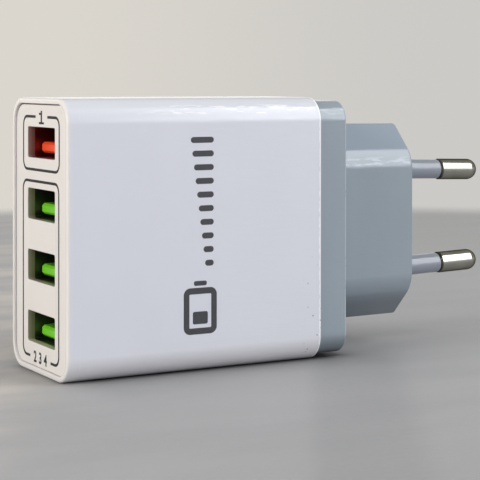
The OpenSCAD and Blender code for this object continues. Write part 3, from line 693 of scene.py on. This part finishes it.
# The white sleeve
def make_sleeve(finish):
    piece = block("white_sleeve", (0, -BODY_T / 2, 0), (SLEEVE_L, BODY_T / 2, BODY_W))
    pick("EDGE", runs_along_x)
    bevel(CORNER_R, CORNER_SEGMENTS)
    # the pocket of the port panel, then the mouth of the bore
    pick("FACE", facing(0, -1))
    inset(RIM_WALL)
    extrude_x(PANEL_BACK)
    inset(WALL - RIM_WALL)
    bpy.ops.mesh.delete(type="FACE")
    pick("FACE", facing(SLEEVE_L, 1))
    inset(WALL)
    bpy.ops.mesh.delete(type="FACE")
    pick("EDGE", lambda edge: edge.is_boundary)
    bpy.ops.mesh.bridge_edge_loops()
    # soft rims
    pick("EDGE", lambda edge: lies(edge, x=0) and is_sharp(edge) and looks_outward(edge))
    bevel(RIM_ROUND, 5)
    pick("EDGE", lambda edge: lies(edge, x=0) and is_sharp(edge) and not looks_outward(edge))
    bevel(RIM_INNER_ROUND, 2)
    pick("EDGE", lambda edge: lies(edge, x=SLEEVE_L) and is_sharp(edge) and looks_outward(edge))
    bevel(REAR_ROUND, 3)
    close()
    return set_on_frame(piece, finish, ["sleeve"])


# The port panel
def make_panel(finish):
    half_t = BODY_T / 2 - RIM_WALL - PANEL_GAP
    edge_z = RIM_WALL + PANEL_GAP
    # it rests a little low and towards the near side, so the groove shows above it and at its far side
    low = (PANEL_X, -half_t - PANEL_SHIFT, edge_z - PANEL_SHIFT)
    high = (PANEL_BACK, half_t - PANEL_SHIFT, BODY_W - edge_z - PANEL_SHIFT)
    piece = block("port_panel_face", low, high)
    pick("EDGE", runs_along_x)
    bevel(CORNER_R - edge_z, 10)
    pick("EDGE", lambda edge: lies(edge, x=PANEL_X) and is_sharp(edge))
    bevel(PANEL_ROUND, 3)
    # the skirt that holds it in the sleeve's bore
    pick("FACE", facing(PANEL_BACK, 1))
    inset(WALL - RIM_WALL)
    extrude_x(SKIRT_L)
    inset(SKIRT_WALL)
    extrude_x(-SKIRT_L)
    # cuts along the windows' sides, then each window is opened and its walls bridged
    cuts = [((0, y, 0), (0, 1, 0)) for y in WINDOW_YS]
    cuts += [((0, 0, z + side * WINDOW_H / 2), (0, 0, 1)) for z in PORT_ZS for side in (-1, 1)]
    for point, normal in cuts:
        bpy.ops.mesh.select_all(action="SELECT")
        bpy.ops.mesh.bisect(plane_co=point, plane_no=normal)
    wall = (PANEL_X, PANEL_BACK)
    for z in PORT_ZS:
        up = (z - WINDOW_H / 2, z + WINDOW_H / 2)
        pick("FACE", lambda face: lies(face, x=wall, y=WINDOW_YS, z=up))
        bpy.ops.mesh.delete(type="FACE")
        pick("EDGE", lambda edge: edge.is_boundary)
        bpy.ops.mesh.bridge_edge_loops()
    pick("EDGE", lambda edge: runs_along_x(edge) and is_sharp(edge) and lies(edge, x=wall, y=WINDOW_YS))
    bevel(WINDOW_R, 5)
    pick("EDGE", lambda edge: lies(edge, x=PANEL_X, y=WINDOW_YS) and is_sharp(edge))
    bevel(WINDOW_ROUND, 3)
    close()
    return set_on_frame(piece, finish, ["port_panel"])


# The sockets' tongues
def shape_tongue():
    """The tongue of the top socket, in millimetres."""
    port_z = PORT_ZS[0]
    z = port_z - TONGUE_DROP
    low, high = z - TONGUE_T / 2, z + TONGUE_T / 2
    half_w = TONGUE_W / 2
    piece = block("tongue_1", (TONGUE_TIP_X, -half_w, low), (TONGUE_BASE_X, half_w, high))

    def is_flat(edge):
        return lies(edge, z=low) or lies(edge, z=high)

    # rounded front corners, a chamfer round the tip, and the block that holds it in the shell
    pick("EDGE", lambda edge: lies(edge, x=TONGUE_TIP_X) and not is_flat(edge))
    bevel(TONGUE_CORNER, 5)
    reach = (TONGUE_TIP_X, TONGUE_TIP_X + TONGUE_CORNER)
    pick("EDGE", lambda edge: is_sharp(edge) and lies(edge, x=reach) and is_flat(edge))
    bevel(TONGUE_CHAMFER, 1)
    pick("FACE", facing(TONGUE_BASE_X, 1))
    seam = 0.01
    bpy.ops.mesh.inset(thickness=seam)
    grow = (1, SHELL_IN_W / (TONGUE_W - 2 * seam), SHELL_IN_H / (TONGUE_T - 2 * seam))
    bpy.ops.transform.resize(value=grow, center_override=(TONGUE_BASE_X, 0, z))
    bpy.ops.transform.translate(value=(0, 0, port_z - z))
    extrude_x(TONGUE_END - TONGUE_BASE_X)
    close()
    for y, start in zip(CONTACT_YS, CONTACT_STARTS):
        half = CONTACT_W / 2 + CONTACT_FIT
        groove_low = (TONGUE_X + start - CONTACT_FIT, y - half, high - CONTACT_T)
        groove = block("groove", groove_low, (TONGUE_END + OVERRUN, y + half, high + GROOVE_RISE))
        close()
        combine(piece, groove, "DIFFERENCE")
    least = math.radians(TONGUE_ANGLE)
    modifier(piece, "BEVEL", width=TONGUE_ROUND, segments=2, limit_method="ANGLE", angle_limit=least)
    return piece


def make_tongues(orange, green):
    """An orange tongue, and three copies of it in green, each one socket lower."""
    first = shape_tongue()
    for number in (2, 3, 4):
        piece = copied(first, f"tongue_{number}")
        piece.location = (0, 0, (1 - number) * PORT_PITCH)
        set_on_frame(piece, green, [f"usb_tongue_{number}"])
    set_on_frame(first, orange, ["usb_tongue_1"])


# The rear cover
def hexagon(name, x0, x1, smaller, draft, side_r, tip_r):
    """A six-sided bar from x0 to x1 with rounded long edges, smaller all round than the plug block, and
    narrower at x1 by the draft."""
    half_w = BLOCK_W / 2 - smaller * TIP_DRAWN_IN
    half_flat = BLOCK_FLAT / 2 - smaller * FLAT_DRAWN_IN
    half_t = BLOCK_T / 2 - smaller
    upright = (math.pi / 2, 0, math.pi / 2)
    bpy.ops.object.select_all(action="DESELECT")
    bpy.ops.mesh.primitive_cylinder_add(
        vertices=6, radius=1, depth=x1 - x0, location=((x0 + x1) / 2, 0, MID_Z), rotation=upright
    )
    bpy.ops.object.transform_apply(location=True, rotation=True, scale=True)
    piece = named(name)
    # a first scale brings the tips and the flats to their places, a second one the flats' length
    bpy.ops.mesh.select_all(action="SELECT")
    corner_y = max(abs(v.co.y) for v in bmesh.from_edit_mesh(piece.data).verts)
    bpy.ops.transform.resize(value=(1, half_t / corner_y, half_w), center_override=(0, 0, MID_Z))
    pick("EDGE", lambda edge: runs_along_x(edge) and abs(edge.verts[0].co.y) > half_t / 2)
    bpy.ops.transform.resize(value=(1, 1, half_flat / (half_w / 2)), center_override=(0, 0, MID_Z))
    if draft:
        pick("FACE", facing(x1, 1))
        narrower = (1, 1 - draft / half_t, 1 - draft / half_w)
        bpy.ops.transform.resize(value=narrower, center_override=(x1, 0, MID_Z))
    # a bevel's width is measured from the sharp edge, so it follows from the radius and the corner's angle
    slope = math.atan2(half_t, half_w - half_flat)
    pick("EDGE", lambda edge: runs_along_x(edge) and abs(edge.verts[0].co.y) > half_t / 2)
    bevel(side_r * math.tan(slope / 2), 8)
    pick("EDGE", lambda edge: runs_along_x(edge) and abs(edge.verts[0].co.z - MID_Z) > half_w - 0.5)
    bevel(tip_r * math.tan((math.pi - 2 * slope) / 2), 6)
    return piece


def make_cover(finish):
    half_t = BODY_T / 2 - COVER_STEP
    piece = block("grey_cover", (SLEEVE_L, -half_t, COVER_STEP), (BLOCK_X, half_t, FLANGE_TOP))
    pick("EDGE", runs_along_x)
    bevel(FLANGE_R, CORNER_SEGMENTS)
    pick("EDGE", lambda edge: lies(edge, x=BLOCK_X) and is_sharp(edge))
    bevel(FLANGE_ROUND, 4)
    # the lip inside the sleeve, and the flange's hollow
    pick("FACE", facing(SLEEVE_L, -1))
    inset(WALL + PANEL_GAP - COVER_STEP)
    extrude_x(-LIP_L)
    inset(LIP_WALL)
    extrude_x(LIP_L + FLANGE_L - COVER_WALL)
    close()
    # the plug block, which starts inside the flange, and its hollow, which opens into the flange's
    plug = hexagon("plug_block", BLOCK_X - OVERRUN, BLOCK_END, 0, BLOCK_DRAFT, BLOCK_SIDE_R, BLOCK_TIP_R)
    pick("EDGE", lambda edge: lies(edge, x=BLOCK_END) and is_sharp(edge))
    bevel(BLOCK_END_ROUND, 4)
    close()
    combine(piece, plug, "UNION")
    hollow_x = BLOCK_X - COVER_WALL - OVERRUN / 2
    hollow = hexagon("hollow", hollow_x, BLOCK_END - END_WALL, COVER_WALL, 0, HOLLOW_SIDE_R, HOLLOW_TIP_R)
    close()
    combine(piece, hollow, "DIFFERENCE")
    # the collars' seats and the bores of the pins' necks
    seat_r, neck_r = COLLAR_D / 2 + SEAT_FIT, NECK_D / 2 + NECK_FIT
    for side in (-1, 1):
        for name, stations in (
            ("seat", [(-COLLAR_SEAT, seat_r), (OVERRUN, seat_r)]),
            ("neck", [(-END_WALL - 2 * OVERRUN, neck_r), (0, neck_r)]),
        ):
            tool = turned(name, stations)
            lean_out(tool, side)
            combine(piece, tool, "DIFFERENCE")
    return set_on_frame(piece, finish, ["rear_cover"])


# Pins and collars
def lean_out(piece, side):
    """Moves a piece that was turned about X to a pin's place, leaning towards the other pin."""
    choose(piece)
    piece.location = (BLOCK_END, 0, MID_Z + side * PIN_SPACE / 2)
    piece.rotation_euler = (0, side * PIN_TILT, 0)
    bpy.ops.object.transform_apply(location=True, rotation=True, scale=True)


def turned_pin():
    """A pin with a disc that anchors it in the block, a thin neck in the collar, and a round nose."""
    neck_r = NECK_D / 2
    stations = [(ANCHOR_X, neck_r), (ANCHOR_X + STEP, ANCHOR_D / 2)]
    stations += [(ANCHOR_END, ANCHOR_D / 2), (ANCHOR_END + STEP, neck_r)]
    stations += [(COLLAR_L, neck_r), (COLLAR_L + STEP, PIN_D / 2 - PIN_EDGE)]
    stations += [(COLLAR_L + PIN_EDGE, PIN_D / 2)]
    stations += arc_stations(PIN_L, PIN_D / 2, PIN_D / 2 - PIN_NOSE, 14)
    return turned("pin_upper_metal", stations)


def turned_collar():
    """A tube with a rounded end, bored out for a pin's neck."""
    outer = [(-COLLAR_SEAT, COLLAR_D / 2), *arc_stations(COLLAR_L, COLLAR_D / 2, COLLAR_ROUND, 4)]
    piece = turned("pin_collar_upper_sleeve", [(-COLLAR_SEAT, NECK_D / 2 + STEP), *outer])
    bore = turned("bore", [(-COLLAR_SEAT - OVERRUN, NECK_D / 2), (COLLAR_L + OVERRUN, NECK_D / 2)])
    combine(piece, bore, "DIFFERENCE")
    return piece


def make_pins(metal, plastic):
    """Two pins in their collars: the upper ones are turned, and the lower ones are copies of them."""
    upper = (turned_pin(), turned_collar())
    lower = (copied(upper[0], "pin_lower_metal"), copied(upper[1], "pin_collar_lower_sleeve"))
    for place, side, (pin, collar) in (("upper", 1, upper), ("lower", -1, lower)):
        lean_out(pin, side)
        lean_out(collar, side)
        set_on_frame(pin, metal, [f"pin_{place}"])
        set_on_frame(collar, plastic, [f"pin_collar_{place}"])


# Printed marks
def flat_plate(name, axis, at, low, high):
    """Starts a printed mark from a plane, which faces forward on the panel (axis x) and outward on the
    big face (axis y)."""
    bpy.ops.object.select_all(action="DESELECT")
    middle = [(a + b) / 2 for a, b in zip(low, high)]
    size = [b - a for a, b in zip(low, high)]
    if axis == "x":
        spot, turn, scale = (at, middle[0], middle[1]), (0, -math.pi / 2, 0), (size[1], size[0], 1)
    else:
        spot, turn, scale = (middle[0], at, middle[1]), (math.pi / 2, 0, 0), (size[0], size[1], 1)
    bpy.ops.mesh.primitive_plane_add(size=1, location=spot, rotation=turn)
    piece = bpy.context.view_layer.objects.active
    piece.scale = scale
    bpy.ops.object.transform_apply(location=True, rotation=True, scale=True)
    return named(name)


def round_corners(radius, segments=8):
    bpy.ops.mesh.select_all(action="SELECT")
    bpy.ops.mesh.bevel(offset=radius, segments=segments, affect="VERTICES", clamp_overlap=True)


def thicken(along):
    """Gives the edited flat mark the ink's thickness, outward."""
    bpy.ops.mesh.select_all(action="SELECT")
    bpy.ops.mesh.extrude_region_move(TRANSFORM_OT_translate={"value": [INK_T * part for part in along]})
    return close()


def ring(width):
    """Leaves only the outline of the edited flat mark, of the given width."""
    pick("FACE", lambda face: True)
    inset(width)
    bpy.ops.mesh.delete(type="FACE")


def cut_gap(gap, z_mid, above):
    """Opens a gap between two places in Y in an outline on the panel, above or below z_mid."""
    for y in gap:
        bpy.ops.mesh.select_all(action="SELECT")
        bpy.ops.mesh.bisect(plane_co=(PANEL_X, y, 0), plane_no=(0, 1, 0))
    pick("FACE", lambda face: lies(face, y=gap) and (face.calc_center_median().z > z_mid) == above)
    bpy.ops.mesh.delete(type="FACE")


def join(pieces, name):
    bpy.ops.object.select_all(action="DESELECT")
    for piece in pieces:
        piece.select_set(True)
    bpy.context.view_layer.objects.active = pieces[0]
    bpy.ops.object.join()
    pieces[0].name = pieces[0].data.name = name
    return pieces[0]


def number_on_panel(text, size, bold, y, z):
    """A plain number on the panel, upright, made a mesh before it is placed."""
    bpy.ops.object.select_all(action="DESELECT")
    bpy.ops.object.text_add(location=(0, 0, 0))
    letters = bpy.context.view_layer.objects.active.data
    letters.body = text
    letters.size = size
    letters.align_x = "CENTER"
    letters.align_y = "CENTER"
    letters.extrude = INK_T / 2
    letters.offset = bold
    letters.space_character = 1.12
    letters.resolution_u = 6
    bpy.ops.object.convert(target="MESH")
    piece = bpy.context.view_layer.objects.active
    piece.rotation_euler = (math.pi / 2, 0, -math.pi / 2)
    piece.location = (PANEL_X - INK_T / 2, y, z)
    bpy.ops.object.transform_apply(location=True, rotation=True, scale=True)
    edit(piece)
    bpy.ops.mesh.select_all(action="SELECT")
    bpy.ops.mesh.remove_doubles(threshold=0.002)
    return close()


def make_panel_print(finish):
    """The frames round the sockets and a plain number for each socket."""
    forward = (-1, 0, 0)
    marks = []
    for name, low, high, gap, above in FRAMES:
        flat_plate(name, "x", PANEL_X, low, high)
        round_corners(FRAME_CORNER)
        ring(INK_LINE)
        cut_gap(gap, (low[1] + high[1]) / 2, above)
        marks.append(thicken(forward))
    for name, low, high in FIGURE_ONE:
        flat_plate(name, "x", PANEL_X, low, high)
        marks.append(thicken(forward))
    marks.append(number_on_panel("2 3 4", size=2.6, bold=0.07, y=0.3, z=2.5))
    return set_on_frame(join(marks, "panel_print"), finish, [])


def side_mark(name, corners, radius, segments=8, line=None):
    """A mark on the big face between two corners, whole or as an outline."""
    flat_plate(name, "y", -BODY_T / 2, *corners)
    round_corners(radius, segments)
    if line:
        ring(line)
    return thicken((0, -1, 0))


def make_side_print(finish):
    """A generic level sign on the big face: a battery outline, and bars that grow towards the top."""
    marks = [
        side_mark("battery", BATTERY, BATTERY_CORNER, line=BATTERY_LINE),
        side_mark("battery_cap", BATTERY_CAP, SMALL_CORNER, 4),
        side_mark("battery_fill", BATTERY_FILL, SMALL_CORNER, 4),
    ]
    for i in range(BAR_COUNT):
        z = BAR_Z + i * BAR_PITCH
        length = BAR_FIRST_L + BAR_GROWTH * i
        marks.append(side_mark("bar", ((BAR_X - length, z), (BAR_X, z + BAR_T)), BAR_CORNER, 6))
    return set_on_frame(join(marks, "side_print"), finish, [])


# Making the pieces
def dress(nodes, finish):
    """Gives CAD nodes that stay a finish of their own."""
    for name in nodes:
        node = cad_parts[name]
        node.data.materials.clear()
        node.data.materials.append(finish)


def make_charger():
    make_sleeve(white_plastic())
    make_panel(panel_plastic())
    make_cover(grey_plastic())
    make_pins(pin_metal(), collar_plastic())
    orange = tongue_plastic("orange_plastic", (1.0, 0.10, 0.022), (0.92, 0.07, 0.014))
    green = tongue_plastic("green_plastic", (0.20, 0.70, 0.022), (0.145, 0.57, 0.015))
    make_tongues(orange, green)
    make_panel_print(print_ink("panel_ink", (0.016, 0.016, 0.017), (0.030, 0.030, 0.031), 0.2))
    make_side_print(print_ink("print_ink", (0.038, 0.040, 0.045), (0.062, 0.064, 0.070), 0.5))
    dress([f"usb_shell_{i}" for i in range(1, 5)], socket_metal())
    dress([f"usb_contacts_{i}" for i in range(1, 5)], contact_metal())


# The electronics, which the closed case hides.
CHIPS = ["bridge_rectifier", "power_switch", "controller_chip", "optocoupler", "output_rectifier"]
CHIPS += ["port_chip_1", "port_chip_2"]
# finish, dark and light tone, grain size, roughness, then how metallic it is and how its grain is
# stretched where that differs, and the nodes that have it
INNER_FINISHES = (
    ("fibre_paper", (0.42, 0.33, 0.2), (0.55, 0.45, 0.3), 0.4, 0.8, (), ["insulating_sheet"]),
    ("ferrite", (0.03, 0.03, 0.035), (0.08, 0.08, 0.085), 0.3, 0.55, (), ["transformer_core", "choke_core"]),
    ("bobbin_plastic", (0.02, 0.02, 0.022), (0.05, 0.05, 0.05), 0.8, 0.45, (), ["transformer_bobbin"]),
    ("blue_film", (0.01, 0.02, 0.10), (0.02, 0.05, 0.2), 3, 0.3, (),
     ["mains_capacitor_1", "mains_capacitor_2"]),
    ("bare_can", (0.6, 0.6, 0.6), (0.8, 0.8, 0.8), 0.5, 0.3, (1.0, (1, 0.1, 1)),
     ["output_capacitor_1", "output_capacitor_2"]),
    ("film_box", (0.62, 0.42, 0.05), (0.78, 0.55, 0.1), 2, 0.5, (), ["interference_capacitor"]),
    ("disc_coat", (0.02, 0.10, 0.30), (0.04, 0.18, 0.45), 0.6, 0.35, (), ["safety_capacitor"]),
    ("fuse_coat", (0.10, 0.22, 0.08), (0.2, 0.36, 0.15), 0.6, 0.4, (), ["inline_fuse"]),
    ("chip_resin", (0.015, 0.015, 0.017), (0.04, 0.04, 0.045), 0.15, 0.6, (), CHIPS),
    ("heatsink_metal", (0.5, 0.5, 0.5), (0.7, 0.7, 0.7), 0.4, 0.35, (1.0, (0.1, 1, 1)),
     ["rectifier_heatsink"]),
    ("brown_wire", (0.12, 0.05, 0.02), (0.2, 0.09, 0.04), 0.8, 0.4, (), ["live_wire"]),
    ("blue_wire", (0.02, 0.09, 0.35), (0.04, 0.15, 0.5), 0.8, 0.4, (), ["neutral_wire"]),
)
# finish, dark and light tone, pitch of the turns, and the node that has it
WINDINGS = (
    ("yellow_tape", (0.75, 0.52, 0.06), (0.9, 0.68, 0.12), 2.4, "transformer_winding"),
    ("copper_wire", (0.42, 0.13, 0.05), (0.8, 0.32, 0.14), 0.5, "choke_winding"),
    ("inductor_wire", (0.42, 0.13, 0.05), (0.8, 0.32, 0.14), 0.6, "output_inductor"),
)


def dress_inside():
    dress(["port_board", "main_board"], circuit_board())
    for name, dark, light, grain, rough, more, nodes in INNER_FINISHES:
        dress(nodes, plain_inner(name, dark, light, grain, rough, *more))
    for name, dark, light, pitch, node in WINDINGS:
        dress([node], winding_turns(name, dark, light, pitch))


# Stage, lamps and camera; sizes here are in metres, but a finish counts in millimetres.
STAGE_R = 2.5
STAGE_H = 0.55
NEAR_FLOOR_R = 0.314
FLOOR_BLUR = 0.026
FLOOR_TURN = math.radians(30.6)
FOOT_HALF_T = 9
PALE_LEFT = srgb(218, 214, 206)
PALE_RIGHT = srgb(204, 202, 198)
COOL = (0.95, 0.975, 1.0)
# name, over, along, distance, size, strength and colour, as the lamp function tells
LAMPS = (
    ("key_softbox", 46, 33, 0.9, (0.28, 0.88), 5.2, COOL),
    ("key_skirt", 79, 33, 0.9, (0.28, 0.22), 1.3, COOL),
    ("front_card", 82, 5, 1.1, (2.6, 0.45), 0.585, (0.61, 0.655, 0.98)),
    ("left_softbox", 20, -72, 1.0, (0.7, 0.6), 4.6, (1.0, 0.975, 0.945)),
    ("back_card", -78, 15, 1.2, (2.2, 0.5), 0.6, (1.0, 1.0, 1.0)),
)
ROOM_COLOR = (1.0, 0.99, 0.975, 1)
ROOM_STRENGTH = 0.42
# the camera's place is in millimetres from the front rim, its turns in degrees
CAMERA_PLACE = (-96.568, -250.292, 49.576)
CAMERA_TURNS = (30.623, 0.583, 0.094)
CAMERA_LENS = 119.03
CAMERA_SHIFT = (-0.13535, -0.30364)


def floor_tone(own, grain):
    """Mottled grey of the near floor: darker far off, with painted warm light at the left and a painted dark
    reflection of the cover before the case.
    """
    across = own.x * math.cos(FLOOR_TURN) - own.y * math.sin(FLOOR_TURN)
    tone = own.mixed(own.y.step(40, 170), (0.445, 0.442, 0.445), (0.39, 0.385, 0.37))
    # painted warm light from the lamp at the left
    left = across.step(-28, -46) * own.y.step(420, 60)
    tone = own.mixed(left, tone, (0.640, 0.590, 0.530))
    clouds = own.noise(16, 4, place=own.stretched(0.35, 1, 1)).step(0.3, 0.7)
    tone = own.mixed(clouds, tone, (0.40, 0.40, 0.405))
    # painted reflection: a soft dark band of the grey cover on the table before the case
    dim = across.step(5, 9) * across.step(25, 19) * own.y.step(-8, -20)
    tone = own.mixed(dim * 0.22, tone, (0.2, 0.2, 0.21))
    return own.mixed(grain * 0.35, tone, (0.50, 0.498, 0.49))


def contact_shadow(own):
    """Soft shadow round the foot of the case, deepest at its edge."""
    x = own.behind_rim()
    half_l = BLOCK_X / 2
    beyond = ((x - half_l).math("ABSOLUTE") - half_l).math("MAXIMUM", 0)
    beside = (own.y.math("ABSOLUTE") - FOOT_HALF_T).math("MAXIMUM", 0)
    reach = (beyond * beyond + beside * beside).math("SQRT")
    wide = (reach * (-1 / 9)).math("EXPONENT") * x.step(-2, 7) * 0.5
    tight = (reach * (-1 / 1.4)).math("EXPONENT") * 0.48
    return wide + tight


def stage_finish():
    """Grey matt table near the object; beyond it, and on the wall, a pale plain background."""
    own = Finish("table_and_wall", (0.44, 0.44, 0.435), Roughness=0.6)
    grain = own.noise(1.2, 3)
    own.feed(Base_Color=own.mixed(contact_shadow(own), floor_tone(own, grain), (0.01, 0.01, 0.012)))
    own.relief(grain * 0.01)
    # the background is as bright as it is drawn, for the camera and for reflections
    length = own.node("ShaderNodeVectorMath", {"operation": "LENGTH"}, {0: own.place})
    radius = Wire(own.tree, length.outputs["Value"])
    far = radius.step((NEAR_FLOOR_R - FLOOR_BLUR) / MM, (NEAR_FLOOR_R + FLOOR_BLUR) / MM)
    rays = own.node("ShaderNodeLightPath").outputs
    seen = sum(Wire(own.tree, rays[f"Is {kind} Ray"]) for kind in ("Camera", "Glossy", "Transmission"))
    pale = own.mixed(own.x.math("DIVIDE", radius).step(0.34, 0.60), PALE_LEFT, PALE_RIGHT)
    glow = own.node("ShaderNodeEmission", {}, {"Color": pale, "Strength": 1.0})
    shaders = {1: own.shader.outputs[0], 2: glow.outputs[0]}
    blend = own.node("ShaderNodeMixShader", {}, {0: far * seen.step(0, 1), **shaders})
    own.tree.links.new(blend.outputs[0], own.output.inputs["Surface"])
    return own.material


def make_stage():
    bpy.ops.object.select_all(action="DESELECT")
    bpy.ops.mesh.primitive_circle_add(vertices=96, radius=STAGE_R, fill_type="NGON")
    piece = named("floor_and_wall")
    pick("EDGE", lambda edge: True)
    bpy.ops.mesh.extrude_region_move(TRANSFORM_OT_translate={"value": (0, 0, STAGE_H)})
    bpy.ops.mesh.select_all(action="SELECT")
    bpy.ops.mesh.normals_make_consistent(inside=True)
    bpy.ops.object.mode_set(mode="OBJECT")
    piece.data.materials.append(stage_finish())


def lamp(name, over, along, distance, size, strength, color):
    """A soft box aimed at the object. over is its turn in degrees from straight above towards the
    camera's side, along its turn towards the plug; size is measured along and over; strength is its
    radiance."""
    data = bpy.data.lights.new(name, "AREA")
    data.shape = "RECTANGLE"
    data.size, data.size_y = size
    data.color = color
    data.energy = strength * size[0] * size[1] * math.pi
    made = bpy.data.objects.new(name, data)
    bpy.context.scene.collection.objects.link(made)
    over, along = math.radians(over), math.radians(along)
    out = Vector((math.sin(along), -math.cos(along) * math.sin(over), math.cos(along) * math.cos(over)))
    side = Vector((math.cos(along), math.sin(along) * math.sin(over), -math.sin(along) * math.cos(over)))
    made.location = Vector((0, 0, MID_Z * MM)) + out * distance
    made.rotation_mode = "QUATERNION"
    made.rotation_quaternion = Matrix((side, out.cross(side), out)).transposed().to_quaternion()
    made.visible_camera = False


def make_lights():
    for values in LAMPS:
        lamp(*values)
    world = bpy.data.worlds.new("dim_room")
    world.use_nodes = True
    room = world.node_tree.nodes["Background"]
    room.inputs["Color"].default_value = ROOM_COLOR
    room.inputs["Strength"].default_value = ROOM_STRENGTH
    bpy.context.scene.world = world


def make_camera():
    """The camera at the photograph's place, measured from the object's edges."""
    data = bpy.data.cameras.new("camera")
    data.sensor_width = 36
    data.lens = CAMERA_LENS
    data.shift_x, data.shift_y = CAMERA_SHIFT
    data.clip_start = 0.01
    camera = bpy.data.objects.new("camera", data)
    bpy.context.scene.collection.objects.link(camera)
    yaw, pitch, roll = (math.radians(turn) for turn in CAMERA_TURNS)
    heading = Vector((math.sin(yaw) * math.cos(pitch), math.cos(yaw) * math.cos(pitch), -math.sin(pitch)))
    camera.location = Vector((FRONT_X, 0, 0)) + Vector(CAMERA_PLACE) * MM
    camera.rotation_mode = "QUATERNION"
    camera.rotation_quaternion = heading.to_track_quat("-Z", "Y") @ Quaternion((0, 0, 1), roll)
    bpy.context.scene.camera = camera


make_camera()
make_charger()
dress_inside()
make_stage()
make_lights()
bpy.context.scene.view_settings.view_transform = "Standard"
